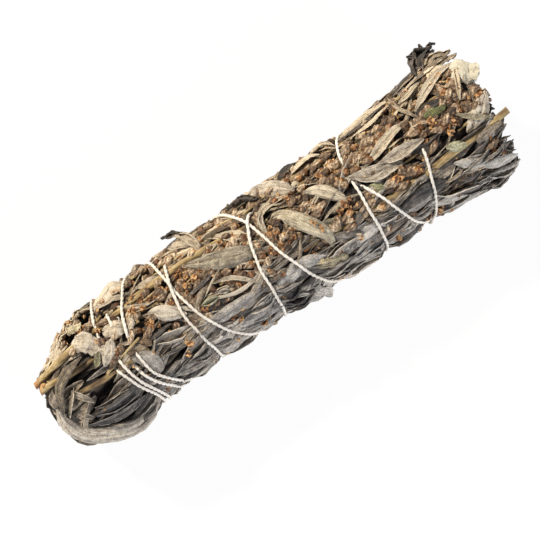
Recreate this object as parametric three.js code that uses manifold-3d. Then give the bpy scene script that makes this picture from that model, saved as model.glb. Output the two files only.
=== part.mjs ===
// A small smudge stick: leafy, flowering herb stems laid side by side, dried and bound with a string.
// Millimetres, +Z up. +X runs along the bundle, from its folded end to its open end. It lies on z = 0.
import * as THREE from 'three';
import { mergeVertices } from 'three/addons/utils/BufferGeometryUtils.js';
import Module from 'manifold-3d';

const wasm = await Module();
wasm.setup();

// Driving dimensions.
const WAIST_RADIUS = 13.6; // the string's seat on the leaves, midway along
const FLARE = 3; // how much the seat's radius grows at the open end
const FAR_FLARE = 0.45; // share of that growth which the far side has
const FOLD_BULGE = 1.2; // growth where the tips are folded in, on the near side
const SHOULDER_X = -50; // the folded end is rounded from here on
const FOLD_TAPER = 0.42; // share of the radius that is missing on the far side of that end
const STRING_DIAMETER = 0.8;
const LEAF_THICKNESS = 0.6;
const GAP = 0.3; // air between neighbouring pieces
const TABLE_CLEARANCE = 1.0; // height of the string's seat over the table, underneath
const SWAY = 0.8; // sideways wander of the bundle's axis, each way
const SWAY_LENGTH = 110; // along X, from one wave of it to the next
const STEM_RADIUS = 1.2;
const OUTER_STEM_RADIUS = 1.0;
const UNDER_LEAF_THICKNESS = 1.9; // two or three leaves pressed together under the bundle's weight

const bundle = new THREE.Group();
const { degToRad, smoothstep } = THREE.MathUtils;

function addPiece(name, geometry, material) {
  const mesh = new THREE.Mesh(geometry, material);
  mesh.name = name;
  bundle.add(mesh);
}

function numbered(name, index) {
  return `${name}_${String(index + 1).padStart(2, '0')}`;
}

// ---- The bundle's shape -------------------------------------------------------------------------
// Everything on the outside is placed by x, by an angle from the top towards the front (-Y), and by a
// height over the string's seat.

function flareAt(x) {
  return FLARE * smoothstep(x, 30, 58);
}

function axisHeight(x) {
  return WAIST_RADIUS + 0.6 * flareAt(x);
}

function axisSway(x) {
  return -SWAY * Math.sin((2 * Math.PI * x) / SWAY_LENGTH);
}

function roundRadius(x, angle) {
  const facingAway = Math.max(0, Math.cos(angle + degToRad(100))) ** 2;
  const bulge = FOLD_BULGE * (1 - facingAway) * Math.exp(-(((x + 48) / 9) ** 2));
  const pastShoulder = Math.max(0, (SHOULDER_X - x) / 16);
  const taper = FOLD_TAPER * facingAway * smoothstep(-x, 44, 64);
  const flare = flareAt(x) * (1 - (1 - FAR_FLARE) * facingAway);
  return (WAIST_RADIUS + flare + bulge) * Math.sqrt(1 - 0.6 * pastShoulder ** 2) * (1 - taper);
}

// Round, but flattened underneath where the bundle's own weight presses it on the table.
function seatRadius(x, angle) {
  const sharpness = 12;
  const facingDown = Math.max(-Math.cos(angle), 1e-3);
  const toTable = (axisHeight(x) - TABLE_CLEARANCE) / facingDown;
  return (roundRadius(x, angle) ** -sharpness + toTable ** -sharpness) ** (-1 / sharpness);
}

function onBundle(x, degrees, height) {
  const angle = degToRad(degrees);
  const radius = seatRadius(x, angle) + height;
  const y = axisSway(x) - radius * Math.sin(angle);
  return new THREE.Vector3(x, y, axisHeight(x) + radius * Math.cos(angle));
}

// Moves each vertex of a geometry to place(vertex).
function reshape(geometry, place) {
  const position = geometry.getAttribute('position');
  const vertex = new THREE.Vector3();
  for (let i = 0; i < position.count; i++) {
    vertex.fromBufferAttribute(position, i);
    const moved = place(vertex);
    position.setXYZ(i, moved.x, moved.y, moved.z);
  }
  geometry.computeVertexNormals();
  return geometry;
}

function roundSection(radius, sides = 8) {
  const corners = Array.from({ length: sides }, (_, i) => {
    const angle = (i / sides) * 2 * Math.PI;
    return new THREE.Vector2(radius * Math.cos(angle), radius * Math.sin(angle));
  });
  return new THREE.Shape(corners);
}

function rod(points, radius, steps) {
  const extrudePath = new THREE.CatmullRomCurve3(points);
  return new THREE.ExtrudeGeometry(roundSection(radius), { steps, extrudePath, bevelEnabled: false });
}

// ---- Joining overlapping solids into one --------------------------------------------------------

function toManifold(geometry) {
  const bare = geometry.clone();
  bare.deleteAttribute('normal');
  bare.deleteAttribute('uv');
  const merged = mergeVertices(bare, 1e-4);
  return new wasm.Manifold(new wasm.Mesh({
    numProp: 3,
    vertProperties: new Float32Array(merged.getAttribute('position').array),
    triVerts: new Uint32Array(merged.index.array),
  }));
}

function union(geometries) {
  const joined = geometries.map(toManifold).reduce((a, b) => a.add(b)).getMesh();
  const result = new THREE.BufferGeometry();
  result.setAttribute('position', new THREE.BufferAttribute(joined.vertProperties, 3));
  result.setIndex(new THREE.BufferAttribute(joined.triVerts, 1));
  result.computeVertexNormals();
  return result;
}

// ---- Core stems ---------------------------------------------------------------------------------
// Seven woody stems run side by side up the middle, one in the centre and six round it.

const stemMaterial = new THREE.MeshStandardMaterial({ color: 0x8f7449, roughness: 0.75, metalness: 0 });
const CORE_STEM_PITCH = 3.0; // between neighbouring stems' centres
const CORE_STEM_ENDS = [[-55, 61], [-53, 62], [-56, 59], [-52, 60], [-56, 61], [-54, 58], [-53, 60]];

CORE_STEM_ENDS.forEach(([from, to], i) => {
  const ring = i === 0 ? 0 : CORE_STEM_PITCH;
  const angle = (i / 6) * 2 * Math.PI;
  const points = [0, 0.25, 0.5, 0.75, 1].map((t) => {
    const x = THREE.MathUtils.lerp(from, to, t);
    const y = axisSway(x) + ring * Math.cos(angle);
    return new THREE.Vector3(x, y, axisHeight(x) + ring * Math.sin(angle));
  });
  addPiece(numbered('core_stem', i), rod(points, STEM_RADIUS, 8), stemMaterial);
});

// ---- Sprig foliage ------------------------------------------------------------------------------
// Nine sprigs' worth of leaves, pressed lengthwise into wedges round the core. Grooves are left
// between them, and outer stems and flower sprays lie in those.

const foliageMaterial = new THREE.MeshStandardMaterial({ color: 0x857a68, roughness: 0.9, metalness: 0 });
const CORE_RADIUS = CORE_STEM_PITCH + STEM_RADIUS + 2 * GAP;
const FOLIAGE_TOP = -2.3 * GAP - LEAF_THICKNESS; // under the outer leaves, which lie under the string
const GROOVES = [-76, -38, -12, 16, 50, 88, 130, 180, 230];
const HALF_GROOVE = 7; // degrees, from a groove's middle to its side
const FOLIAGE_ENDS = [
  [-60, 59], [-58, 60], [-61, 60], [-59, 60], [-61, 59], [-60, 57], [-59, 57], [-60, 57], [-61, 58],
];

GROOVES.forEach((groove, i) => {
  const next = i + 1 < GROOVES.length ? GROOVES[i + 1] : GROOVES[0] + 360;
  const [from, to] = FOLIAGE_ENDS[i];
  const wedge = reshape(new THREE.BoxGeometry(1, 1, 1, 14, 3, 1), ({ x: along, y: across, z: out }) => {
    const x = THREE.MathUtils.lerp(from, to, along + 0.5);
    const degrees = THREE.MathUtils.lerp(groove + HALF_GROOVE, next - HALF_GROOVE, 0.5 - across);
    const surface = seatRadius(x, degToRad(degrees)) + FOLIAGE_TOP;
    const radius = out > 0 ? surface : CORE_RADIUS;
    return onBundle(x, degrees, radius - seatRadius(x, degToRad(degrees)));
  });
  addPiece(numbered('sprig_foliage', i), wedge, foliageMaterial);
});

// ---- Outer stems --------------------------------------------------------------------------------
// Five stems lie on the outside, each in a groove. Three are cut off a little past the leaves.

const OUTER_STEM_HEIGHT = FOLIAGE_TOP - OUTER_STEM_RADIUS;
const OUTER_STEMS = [
  { degrees: -38, from: -63.5, to: -2 },
  { degrees: 16, from: 6, to: 63.2 },
  { degrees: 130, from: -58, to: 60 },
  { degrees: 230, from: -56, to: 60 },
  { degrees: -12, from: -62.6, to: -40 },
];

OUTER_STEMS.forEach(({ degrees, from, to }, i) => {
  const points = [0, 0.1, 0.3, 0.5, 0.7, 0.85, 1].map((t) => {
    return onBundle(THREE.MathUtils.lerp(from, to, t), degrees, OUTER_STEM_HEIGHT);
  });
  addPiece(numbered('outer_stem', i), rod(points, OUTER_STEM_RADIUS, 12), stemMaterial);
});

// ---- Flower sprays ------------------------------------------------------------------------------
// Small egg-shaped flower heads, close together along a thin stalk.

const flowerMaterial = new THREE.MeshStandardMaterial({ color: 0x8a6038, roughness: 0.85, metalness: 0 });
const HEAD = { length: 3.0, width: 1.8, pitch: 2.5 };
const STALK_RADIUS = 0.35;
const FLOWER_SPRAYS = [
  { degrees: -12, from: -33, heads: 8 },
  { degrees: -12, from: -9, heads: 8 },
  { degrees: -12, from: 32, heads: 9 },
  { degrees: -38, from: 6, heads: 10 },
  { degrees: 16, from: -30, heads: 10 },
  { degrees: 50, from: 38, heads: 7 },
  { degrees: -76, from: -22, heads: 7 },
  { degrees: 88, from: -4, heads: 6 },
];

FLOWER_SPRAYS.forEach(({ degrees, from, heads }, i) => {
  const height = FOLIAGE_TOP - HEAD.width / 2;
  const length = (heads - 1) * HEAD.pitch + HEAD.length;
  const straight = new THREE.CylinderGeometry(1, 1, 1, 6, 4 * heads);
  const spray = reshape(straight, ({ x: side, y: along, z: up }) => {
    const x = from + (along + 0.5) * length;
    const swelling = Math.abs(Math.sin(((x - from) / length) * heads * Math.PI));
    const radius = THREE.MathUtils.lerp(STALK_RADIUS, HEAD.width / 2, swelling);
    const middle = onBundle(x, degrees, height);
    return middle.add(new THREE.Vector3(0, -side * radius, up * radius));
  });
  addPiece(numbered('flower_spray', i), spray, flowerMaterial);
});

// ---- Outer leaves -------------------------------------------------------------------------------
// Narrow leaves lie over the foliage and under the string. Each follows its midrib, a list of
// [x, degrees], and is widest a little before the middle. Some lift off the bundle towards the tip.

const leafMaterial = new THREE.MeshStandardMaterial({ color: 0xa99b82, roughness: 0.9, metalness: 0 });
const LEAF_BASE = -GAP - LEAF_THICKNESS / 2;

function leafSolid({ midrib, width, lift = 0 }) {
  const line = new THREE.CatmullRomCurve3(midrib.map(([x, degrees]) => {
    return new THREE.Vector3(x, degToRad(degrees) * WAIST_RADIUS, 0);
  }));
  const steps = 3 + 2 * midrib.length;
  const flat = new THREE.BoxGeometry(1, 1, LEAF_THICKNESS, steps, 2, 1);
  return reshape(flat, ({ x: along, y: across, z: up }) => {
    const t = along + 0.5;
    const middle = line.getPointAt(t);
    const tangent = line.getTangentAt(t);
    const offset = across * width * (0.1 + 0.9 * Math.sin(Math.PI * t ** 0.8));
    const x = middle.x + tangent.y * offset;
    const arc = middle.y - tangent.x * offset;
    const degrees = THREE.MathUtils.radToDeg(arc / WAIST_RADIUS);
    return onBundle(x, degrees, LEAF_BASE + up + lift * t * t);
  });
}

const OUTER_LEAVES = {
  arched_leaf: { midrib: [[3, -26], [7, -24], [10, -8], [12.5, 12], [12, 30]], width: 4 },
  pale_leaf: { midrib: [[14.5, -31], [18.5, -20], [21, 0]], width: 3 },
  broad_leaf: { midrib: [[24.5, -15], [36, 2]], width: 3.6 },
  slender_leaf: { midrib: [[31, -26], [42, -31]], width: 2.2 },
  open_end_long_leaf: { midrib: [[45, -31], [52, -42], [59, -45]], width: 3 },
  open_end_wide_leaf: { midrib: [[52, 12], [61, -6]], width: 4.5 },
  open_end_cupped_leaf: { midrib: [[49.5, 52], [59, 62]], width: 4.5 },
  speckled_leaf: { midrib: [[-31, -16], [-24.5, 5]], width: 3.6 },
  grey_leaf: { midrib: [[-18, -34], [-5, -8]], width: 4.5 },
  long_leaf: { midrib: [[-31, 26], [-17, 30], [-4, 26]], width: 3 },
  low_leaf: { midrib: [[-32, 56], [-18, 52], [-6, 56]], width: 2.6 },
  round_leaf: { midrib: [[-50, -36], [-44, -12]], width: 5 },
  high_leaf: { midrib: [[-41, -54], [-31, -76]], width: 4 },
  drooping_leaf: { midrib: [[1, -84], [8, -70], [12, -42]], width: 4.5 },
  yellow_leaf: { midrib: [[4, 38], [14, 46]], width: 4 },
  loose_leaf: { midrib: [[2, 64], [7, 86]], width: 4, lift: 1.5 },
  upright_leaf: { midrib: [[-12.5, -46], [-15.5, -74]], width: 3, lift: 3 },
  crumpled_leaf: { midrib: [[50.5, -66], [57, -84]], width: 4.5, lift: 3 },
  fold_strap_leaf: {
    midrib: [[-63, 6], [-62, 36], [-59.5, 54], [-54, 66], [-48, 74], [-41, 64]],
    width: 3.6,
  },
  fold_dark_leaf: { midrib: [[-51.5, -16], [-58, -10], [-60, 20]], width: 3 },
  fold_tan_leaf: { midrib: [[-59, -52], [-52, -44]], width: 3 },
  back_leaf: { midrib: [[-14, -136], [6, -120]], width: 5 },
  front_low_leaf_01: { midrib: [[24, 128], [38, 118]], width: 4 },
  front_low_leaf_02: { midrib: [[-54, 128], [-42, 116]], width: 4 },
};

for (const [name, leaf] of Object.entries(OUTER_LEAVES)) {
  addPiece(name, leafSolid(leaf), leafMaterial);
}

// ---- Under leaves -------------------------------------------------------------------------------
// Pressed flat between the bundle and the table, in the stretches that the string leaves free.

const UNDER_LEAVES = [
  { x: -51, length: 15, width: 10 },
  { x: -20.8, length: 10, width: 9 },
  { x: 2.3, length: 14, width: 10 },
  { x: 26.5, length: 8.5, width: 9 },
  { x: 50, length: 16, width: 11 },
];

UNDER_LEAVES.forEach(({ x, length, width }, i) => {
  const outline = new THREE.Shape()
    .moveTo(-length / 2, 0)
    .quadraticCurveTo(-length / 4, -width, length / 2, 0)
    .quadraticCurveTo(length / 4, width, -length / 2, 0);
  const solid = new THREE.ExtrudeGeometry(outline, {
    depth: UNDER_LEAF_THICKNESS,
    curveSegments: 6,
    bevelEnabled: false,
  });
  addPiece(numbered('under_leaf', i), solid.translate(x, axisSway(x), 0), leafMaterial);
});

// ---- String -------------------------------------------------------------------------------------
// One cotton string. It is wound up the bundle to the open end and back, always turning the same way,
// so that the turns cross. Each row is one turn, and gives x at each of STRING_ANGLES: from the back,
// over the top and the front, and underneath. The last turn stops underneath. Where a later turn crosses
// an earlier one, it rides over.

const stringMaterial = new THREE.MeshStandardMaterial({ color: 0xe9e0d2, roughness: 0.95, metalness: 0 });
const STRING_ANGLES = [-60, -30, 0, 30, 60, 90, 180, 255];
const STRING_TURNS = [
  [-41.9, -43.8, -45.2, -42.9, -40.5, -40.4, -42.2, -42.6],
  [-39.6, -39.8, -43.0, -41.7, -39.3, -38.8, -38.8, -37.6],
  [-36.8, -38.2, -41.0, -40.1, -36.8, -34.6, -31.4, -26.2],
  [-24.3, -23.8, -22.6, -20.2, -16.4, -12.6, -11.2, -8.0],
  [-3.2, -0.4, 1.2, 3.5, 6.3, 9.6, 12.8, 16.0],
  [20.0, 22.8, 26.2, 29.0, 31.0, 33.6, 38.5, 41.5],
  [44.5, 43.4, 41.6, 39.3, 36.8, 34.6, 31.8, 29.4],
  [26.2, 24.7, 24.0, 23.5, 22.8, 22.0, 17.8, 10.8],
  [2.8, -1.8, -4.2, -5.0, -5.5, -5.9, -7.2, -13.4],
  [-21.3, -23.4, -24.9, -24.5, -23.5, -23.2, -27.4, -29.8],
  [-33.2, -36.5, -38.8, -38.3, -34.7, -31.8, -34.6],
];
const STRING_START = [-40.2, -128]; // x and degrees, on the first turn
const STRING_END = [-35.6, 228]; // and on the last
const STRING_STEP = 18; // degrees
const CROSSING_WIDTH = 1.5; // how near two turns come before one starts to climb over the other

// The string's line with the bundle's surface rolled out flat, in even steps. Y is the length of arc.
function unrolledString() {
  const unrolled = (x, degrees, n) => new THREE.Vector3(x, degToRad(degrees + 360 * n) * WAIST_RADIUS, 0);
  const points = STRING_TURNS.flatMap((turn, n) => turn.map((x, i) => unrolled(x, STRING_ANGLES[i], n)));
  points.unshift(unrolled(...STRING_START, 0));
  points.push(unrolled(...STRING_END, STRING_TURNS.length - 1));
  const line = new THREE.CatmullRomCurve3(points);
  const turned = (points.at(-1).y - points[0].y) / WAIST_RADIUS;
  return line.getSpacedPoints(Math.round(turned / degToRad(STRING_STEP)));
}

function stringPath() {
  const circumference = 2 * Math.PI * WAIST_RADIUS;
  const halfTurn = Math.round(180 / STRING_STEP);
  const line = unrolledString();
  const lifts = [];
  line.forEach((point, i) => {
    const below = line.slice(0, Math.max(0, i - halfTurn)).map((earlier, j) => {
      const turns = Math.round((point.y - earlier.y) / circumference);
      const apart = Math.hypot(point.x - earlier.x, point.y - earlier.y - turns * circumference);
      return (lifts[j] + STRING_DIAMETER + GAP) * Math.exp(-((apart / CROSSING_WIDTH) ** 2));
    });
    lifts.push(Math.max(0, ...below));
  });
  return line.map(({ x, y: arc }, i) => {
    const degrees = THREE.MathUtils.radToDeg(arc / WAIST_RADIUS);
    return onBundle(x, degrees, STRING_DIAMETER / 2 + lifts[i]);
  });
}

const route = stringPath();
addPiece('string_winding', rod(route, STRING_DIAMETER / 2, route.length - 1), stringMaterial);

// The two ends are tied low down behind the bundle in a small knot with short tails.
const KNOT = { x: -38.2, degrees: -130, height: 2.4 };
const KNOT_RADIUS = 0.75;

function tail(x, degrees) {
  const middle = onBundle((KNOT.x + x) / 2, (KNOT.degrees + degrees) / 2, KNOT.height);
  const points = [onBundle(KNOT.x, KNOT.degrees, KNOT.height), middle, onBundle(x, degrees, KNOT.height)];
  return rod(points, STRING_DIAMETER / 2, 4);
}

const knotPlace = onBundle(KNOT.x, KNOT.degrees, KNOT.height);
const knotLoops = new THREE.TorusKnotGeometry(KNOT_RADIUS, STRING_DIAMETER / 2, 20, 6, 2, 3)
  .rotateX(degToRad(KNOT.degrees))
  .translate(knotPlace.x, knotPlace.y, knotPlace.z);
addPiece('string_knot', union([knotLoops, tail(-33.5, -134), tail(-43, -136)]), stringMaterial);

// ---- The origin is under the middle of the bundle, on the table ----------------------------------

const extent = new THREE.Box3().setFromObject(bundle);
const middle = extent.getCenter(new THREE.Vector3());
bundle.position.set(-middle.x, -middle.y, -extent.min.z);

export default bundle;
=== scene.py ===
import random
import bpy
import numpy as np
from math import cos, sin, pi, radians
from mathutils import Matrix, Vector


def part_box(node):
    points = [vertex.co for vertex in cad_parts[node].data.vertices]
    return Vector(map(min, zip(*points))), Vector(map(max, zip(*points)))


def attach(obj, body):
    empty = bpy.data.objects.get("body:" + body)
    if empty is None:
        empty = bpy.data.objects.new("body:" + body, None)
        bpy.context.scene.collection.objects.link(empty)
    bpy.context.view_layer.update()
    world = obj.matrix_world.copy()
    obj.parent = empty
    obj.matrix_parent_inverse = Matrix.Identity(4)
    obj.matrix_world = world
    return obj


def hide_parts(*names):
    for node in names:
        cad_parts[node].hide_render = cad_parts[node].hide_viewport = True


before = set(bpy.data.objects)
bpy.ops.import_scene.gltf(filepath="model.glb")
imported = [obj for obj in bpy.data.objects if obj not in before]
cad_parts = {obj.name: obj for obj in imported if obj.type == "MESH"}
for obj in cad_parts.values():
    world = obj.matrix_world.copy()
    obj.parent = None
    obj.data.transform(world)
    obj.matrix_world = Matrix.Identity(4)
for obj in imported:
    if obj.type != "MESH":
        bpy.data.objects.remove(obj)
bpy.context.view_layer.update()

# ---- Camera ----
# It looks straight down on the lying stick, with a long lens, and is turned so that the stick runs
# from its folded end at the lower left to its open end at the upper right.
MM = 0.001
VIEW_TURN = radians(-35.1)
VIEW_WIDTH = 125.4 * MM  # what the picture spans, at the height of the stick's axis
LENS, SENSOR = 300.0, 36.0
CORE_STEM_RADIUS = 1.2  # in millimetres, like all the sizes of the bundle
STICK_RIGHT, STICK_UP = 0.23, 3.94  # how far from the picture's middle the stick's lies, in millimetres
core_low, core_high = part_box("core_stem_01")
axis_y = (core_low.y + core_high.y) / 2
axis_z = core_low.z + CORE_STEM_RADIUS * MM
picture_right = Vector((cos(VIEW_TURN), sin(VIEW_TURN), 0))
picture_up = Vector((-sin(VIEW_TURN), cos(VIEW_TURN), 0))
aim = Vector((0, axis_y, axis_z)) - STICK_RIGHT * MM * picture_right - STICK_UP * MM * picture_up
camera_data = bpy.data.cameras.new("camera")
camera_data.lens = LENS
camera_data.sensor_width = SENSOR
camera_data.clip_start = 0.01
camera = bpy.data.objects.new("camera", camera_data)
camera.location = aim + Vector((0, 0, VIEW_WIDTH * LENS / SENSOR))
camera.rotation_euler = (0, 0, VIEW_TURN)
bpy.context.collection.objects.link(camera)
bpy.context.scene.camera = camera
bpy.context.scene.view_settings.view_transform = "Standard"


# ---- Floor and light ----
# A white table under a warm lamp on the stick's far side. A wide cool one in front and a pale room
# fill in the shadows.
class Term:
    """A node socket that takes part in Python arithmetic, each sign adding a Math node."""

    def __init__(self, finish, socket):
        self.finish = finish
        self.socket = socket

    def __add__(self, other):
        return self.finish.math("ADD", self, other)

    def __sub__(self, other):
        return self.finish.math("SUBTRACT", self, other)

    def __rsub__(self, other):
        return self.finish.math("SUBTRACT", other, self)

    def __mul__(self, other):
        return self.finish.math("MULTIPLY", self, other)

    __radd__ = __add__
    __rmul__ = __mul__


class Finish:
    """A material under construction, on a Principled shader."""

    def __init__(self, name):
        self.material = bpy.data.materials.new(name)
        self.material.use_nodes = True
        self.nodes = self.material.node_tree.nodes
        self.links = self.material.node_tree.links
        self.shader = self.nodes["Principled BSDF"]
        self.surface = self.nodes["Material Output"].inputs["Surface"]

    def feed(self, socket, value):
        """Links a term to a socket, or sets a plain value on it."""
        if isinstance(value, Term):
            self.links.new(value.socket, socket)
        else:
            socket.default_value = (*value, 1) if socket.type == "RGBA" else value

    def node(self, kind, settings=None, inputs=None, output=0):
        """Any node: its kind, its settings, which are set first, and what its sockets take."""
        node = self.nodes.new("ShaderNode" + kind)
        for key, value in (settings or {}).items():
            if key == "stops":
                while len(node.color_ramp.elements) < len(value):
                    node.color_ramp.elements.new(0.5)
                for element, (position, colour) in zip(node.color_ramp.elements, value):
                    element.position = position
                    element.color = (*colour, 1)
            else:
                setattr(node, key, value)
        for key, value in (inputs or {}).items():
            self.feed(node.inputs[key], value)
        return Term(self, node.outputs[output])

    def math(self, operation, *values):
        return self.node("Math", {"operation": operation}, dict(enumerate(values)))

    def channel(self, attribute, which):
        """Red, green or blue, as 0, 1 or 2, of a colour that is kept on the mesh's points."""
        colour = self.node("Attribute", {"attribute_name": attribute})
        return self.node("SeparateColor", None, {"Color": colour}, output=which)

    def ramp(self, factor, *stops):
        return self.node("ValToRGB", {"stops": stops}, {"Fac": factor})

    def step(self, value, low, high):
        return self.node("MapRange", {"interpolation_type": "SMOOTHSTEP"},
                         {"Value": value, "From Min": low, "From Max": high})

    def blend(self, factor, first, second, blend_type="MIX"):
        return self.node("Mix", {"data_type": "RGBA", "blend_type": blend_type},
                         {0: factor, 6: first, 7: second}, output=2)

    def grain(self, vector, size, detail):
        """Noise whose features are about size metres across."""
        return self.node("TexNoise", None, {"Vector": vector, "Scale": 1 / size, "Detail": detail})

    def bump(self, height, depth):
        return self.node("Bump", None, {"Height": height, "Distance": depth})

    def dress(self, **sockets):
        """Feeds the shader's own sockets and gives the finished material."""
        for name, value in sockets.items():
            self.feed(self.shader.inputs[name.replace("_", " ")], value)
        return self.material


FLOOR_GLOW = 0.95  # share of the floor that the camera sees as plain white; the rest takes the light
white = Finish("white_table")
seen = white.node("LightPath", output="Is Camera Ray")
glow = white.node("Emission", None, {"Color": (1, 1, 1), "Strength": 1.0})
white.dress(Base_Color=(0.9, 0.9, 0.9), Roughness=0.9)
lit = Term(white, white.shader.outputs[0])
both = white.node("MixShader", None, {0: seen * FLOOR_GLOW, 1: lit, 2: glow})
white.feed(white.surface, both)
bpy.ops.mesh.primitive_plane_add(size=3.0)
floor = bpy.context.object
floor.name = "floor"
floor.data.materials.append(white.material)

room = bpy.data.worlds.new("room")
bpy.context.scene.world = room
room.use_nodes = True
room_light = room.node_tree.nodes["Background"].inputs
room_light["Color"].default_value = (0.92, 0.95, 1.0, 1)
room_light["Strength"].default_value = 0.31
LAMPS = {
    "warm_lamp": {"strength": 4.65, "spread": 5, "colour": (1.0, 0.91, 0.78), "towards": (-0.35, 1.0, 0.80)},
    "cool_fill": {"strength": 2.6, "spread": 40, "colour": (0.92, 0.94, 1.0), "towards": (0.3, -1.0, 0.45)},
}
for name, lamp in LAMPS.items():
    light = bpy.data.lights.new(name, "SUN")
    light.energy = lamp["strength"]
    light.angle = radians(lamp["spread"])
    light.color = lamp["colour"]
    placed = bpy.data.objects.new(name, light)
    placed.rotation_euler = Vector(lamp["towards"]).to_track_quat("Z", "Y").to_euler()
    bpy.context.collection.objects.link(placed)

# ---- The bundle's form and the string's route ----
# Pieces are laid out in millimetres by x, by an angle from the top towards the front (-Y), and by a
# height over the leaves that the string bears on. The string's route comes first, because every leaf
# bends down under it.
WAIST_RADIUS, FLARE, FOLD_BULGE = 13.6, 3.0, 1.2
FAR_FLARE = 0.45  # share of the flare at the open end that the far side has
AXIS_RISE = 0.6  # how far the axis rises as the open end flares, as a share of the flare
FAR_SIDE = -100  # the middle of the far side, in degrees
FOLD_TAPER = 0.42  # share of the radius that is missing on the far side of the folded end
FOLD_BULGE_X, FOLD_BULGE_LENGTH = -48, 9
SHOULDER_X, SHOULDER_LENGTH, SHOULDER_ROUNDING = -50, 16, 0.6  # where the folded end rounds off
SWAY, SWAY_LENGTH = 0.8, 110  # sideways wander of the bundle's axis
TABLE_CLEARANCE = 1.0  # the string's seat over the table
TABLE_CORNER = 12.0  # how sharply the round side turns into the flat underneath
PRESSED = 0.7  # how far above the table leaves begin to flatten against it
STRING_DIAMETER = 0.8
LONGEST_STEM_END = 62.0  # where core_stem_02 ends, by the x that the sizes here are written in
shift_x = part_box("core_stem_02")[1].x / MM - LONGEST_STEM_END
circumference = 2 * pi * WAIST_RADIUS


def smooth(value, low, high):
    """Rises from 0 at low to 1 at high, level at both."""
    share = np.clip((value - low) / (high - low), 0, 1)
    return share * share * (3 - 2 * share)


def flare_at(x):
    return FLARE * smooth(x, 30, 58)


def sway_at(x):
    return -SWAY * np.sin(2 * pi * x / SWAY_LENGTH)


def axis_height(x):
    """Height of the bundle's axis over the table."""
    return WAIST_RADIUS + AXIS_RISE * flare_at(x)


def from_axis(x, y, z):
    """Places given along, across and up from the bundle's axis, in metres."""
    return np.stack([x + shift_x, y + axis_y / MM + sway_at(x), z + axis_height(x)], axis=-1) * MM


def seat_radius(x, angle):
    """From the axis to where the string bears on the leaves: round, and flat where the table is."""
    facing_away = np.maximum(0, np.cos(angle - radians(FAR_SIDE))) ** 2
    bulge = FOLD_BULGE * (1 - facing_away) * np.exp(-(((x - FOLD_BULGE_X) / FOLD_BULGE_LENGTH) ** 2))
    past_shoulder = np.clip((SHOULDER_X - x) / SHOULDER_LENGTH, 0, 1)
    taper = FOLD_TAPER * facing_away * smooth(-x, 44, 64)
    flare = flare_at(x) * (1 - (1 - FAR_FLARE) * facing_away)
    rounding = np.sqrt(1 - SHOULDER_ROUNDING * past_shoulder ** 2)
    around = (WAIST_RADIUS + flare + bulge) * rounding * (1 - taper)
    to_table = (axis_height(x) - TABLE_CLEARANCE) / np.maximum(-np.cos(angle), 1e-3)
    return (around ** -TABLE_CORNER + to_table ** -TABLE_CORNER) ** (-1 / TABLE_CORNER)


def on_bundle(x, angle, height):
    """Places on the bundle, in metres, none of them below the table."""
    radius = seat_radius(x, angle) + height
    y = axis_y / MM + sway_at(x) - radius * np.sin(angle)
    z = axis_height(x) + radius * np.cos(angle)
    z = np.where(z < PRESSED, PRESSED * np.exp((np.minimum(z, PRESSED) - PRESSED) / PRESSED), z)
    return np.stack([x + shift_x, y, z], axis=-1) * MM


# The winding: where each turn passes these angles, on its way up to the open end and back.
STRING_ANGLES = [-60, -30, 0, 30, 60, 90, 180, 255]
STRING_TURNS = [
    [-41.9, -43.8, -45.2, -42.9, -40.5, -40.4, -42.2, -42.6],
    [-39.6, -39.8, -43.0, -41.7, -39.3, -38.8, -38.8, -37.6],
    [-36.8, -38.2, -41.0, -40.1, -36.8, -34.6, -31.4, -26.2],
    [-24.3, -23.8, -22.6, -20.2, -16.4, -12.6, -11.2, -8.0],
    [-3.2, -0.4, 1.2, 3.5, 6.3, 9.6, 12.8, 16.0],
    [20.0, 22.8, 26.2, 29.0, 31.0, 33.6, 38.5, 41.5],
    [44.5, 43.4, 41.6, 39.3, 36.8, 34.6, 31.8, 29.4],
    [26.2, 24.7, 24.0, 23.5, 22.8, 22.0, 17.8, 10.8],
    [2.8, -1.8, -4.2, -5.0, -5.5, -5.9, -7.2, -13.4],
    [-21.3, -23.4, -24.9, -24.5, -23.5, -23.2, -27.4, -29.8],
    [-33.2, -36.5, -38.8, -38.3, -34.7, -31.8, -34.6],
]
STRING_START, STRING_END = (-40.2, -128), (-35.6, 228)

turn_points = [STRING_START]
for turn, row in enumerate(STRING_TURNS):
    turn_points += [(x, degrees + 360 * turn) for x, degrees in zip(row, STRING_ANGLES)]
turn_points.append((STRING_END[0], STRING_END[1] + 360 * (len(STRING_TURNS) - 1)))
turn_x, turn_angle = np.array(turn_points, float).T
turn_slope = np.gradient(turn_x, turn_angle)


def string_x(degrees):
    """The string's place along the bundle, smoothly between the points of its turns."""
    i = np.clip(np.searchsorted(turn_angle, degrees) - 1, 0, len(turn_angle) - 2)
    span = turn_angle[i + 1] - turn_angle[i]
    t = (degrees - turn_angle[i]) / span
    return ((2 * t ** 3 - 3 * t ** 2 + 1) * turn_x[i] + (t ** 3 - 2 * t ** 2 + t) * span * turn_slope[i]
            + (3 * t ** 2 - 2 * t ** 3) * turn_x[i + 1] + (t ** 3 - t ** 2) * span * turn_slope[i + 1])


ROUTE_STEP = 3.0
route_angle = np.arange(turn_angle[0], turn_angle[-1], ROUTE_STEP)
route_x = string_x(route_angle)
route_arc = np.radians(route_angle) * WAIST_RADIUS

# Stretches where the string has sunk in and the leaves stand over it: turn, and degrees from and to.
SUNK_STRETCHES = [
    (0, -38, 8), (1, -95, -43), (1, -24, 0), (2, -95, 22), (2, 190, 225), (4, 130, 170), (5, -100, -4),
    (6, -90, -2), (6, 195, 235), (7, -36, -12), (8, -100, -50), (9, -100, -54), (9, 185, 225), (10, -8, 4),
]
SINKING = 1.5


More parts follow.
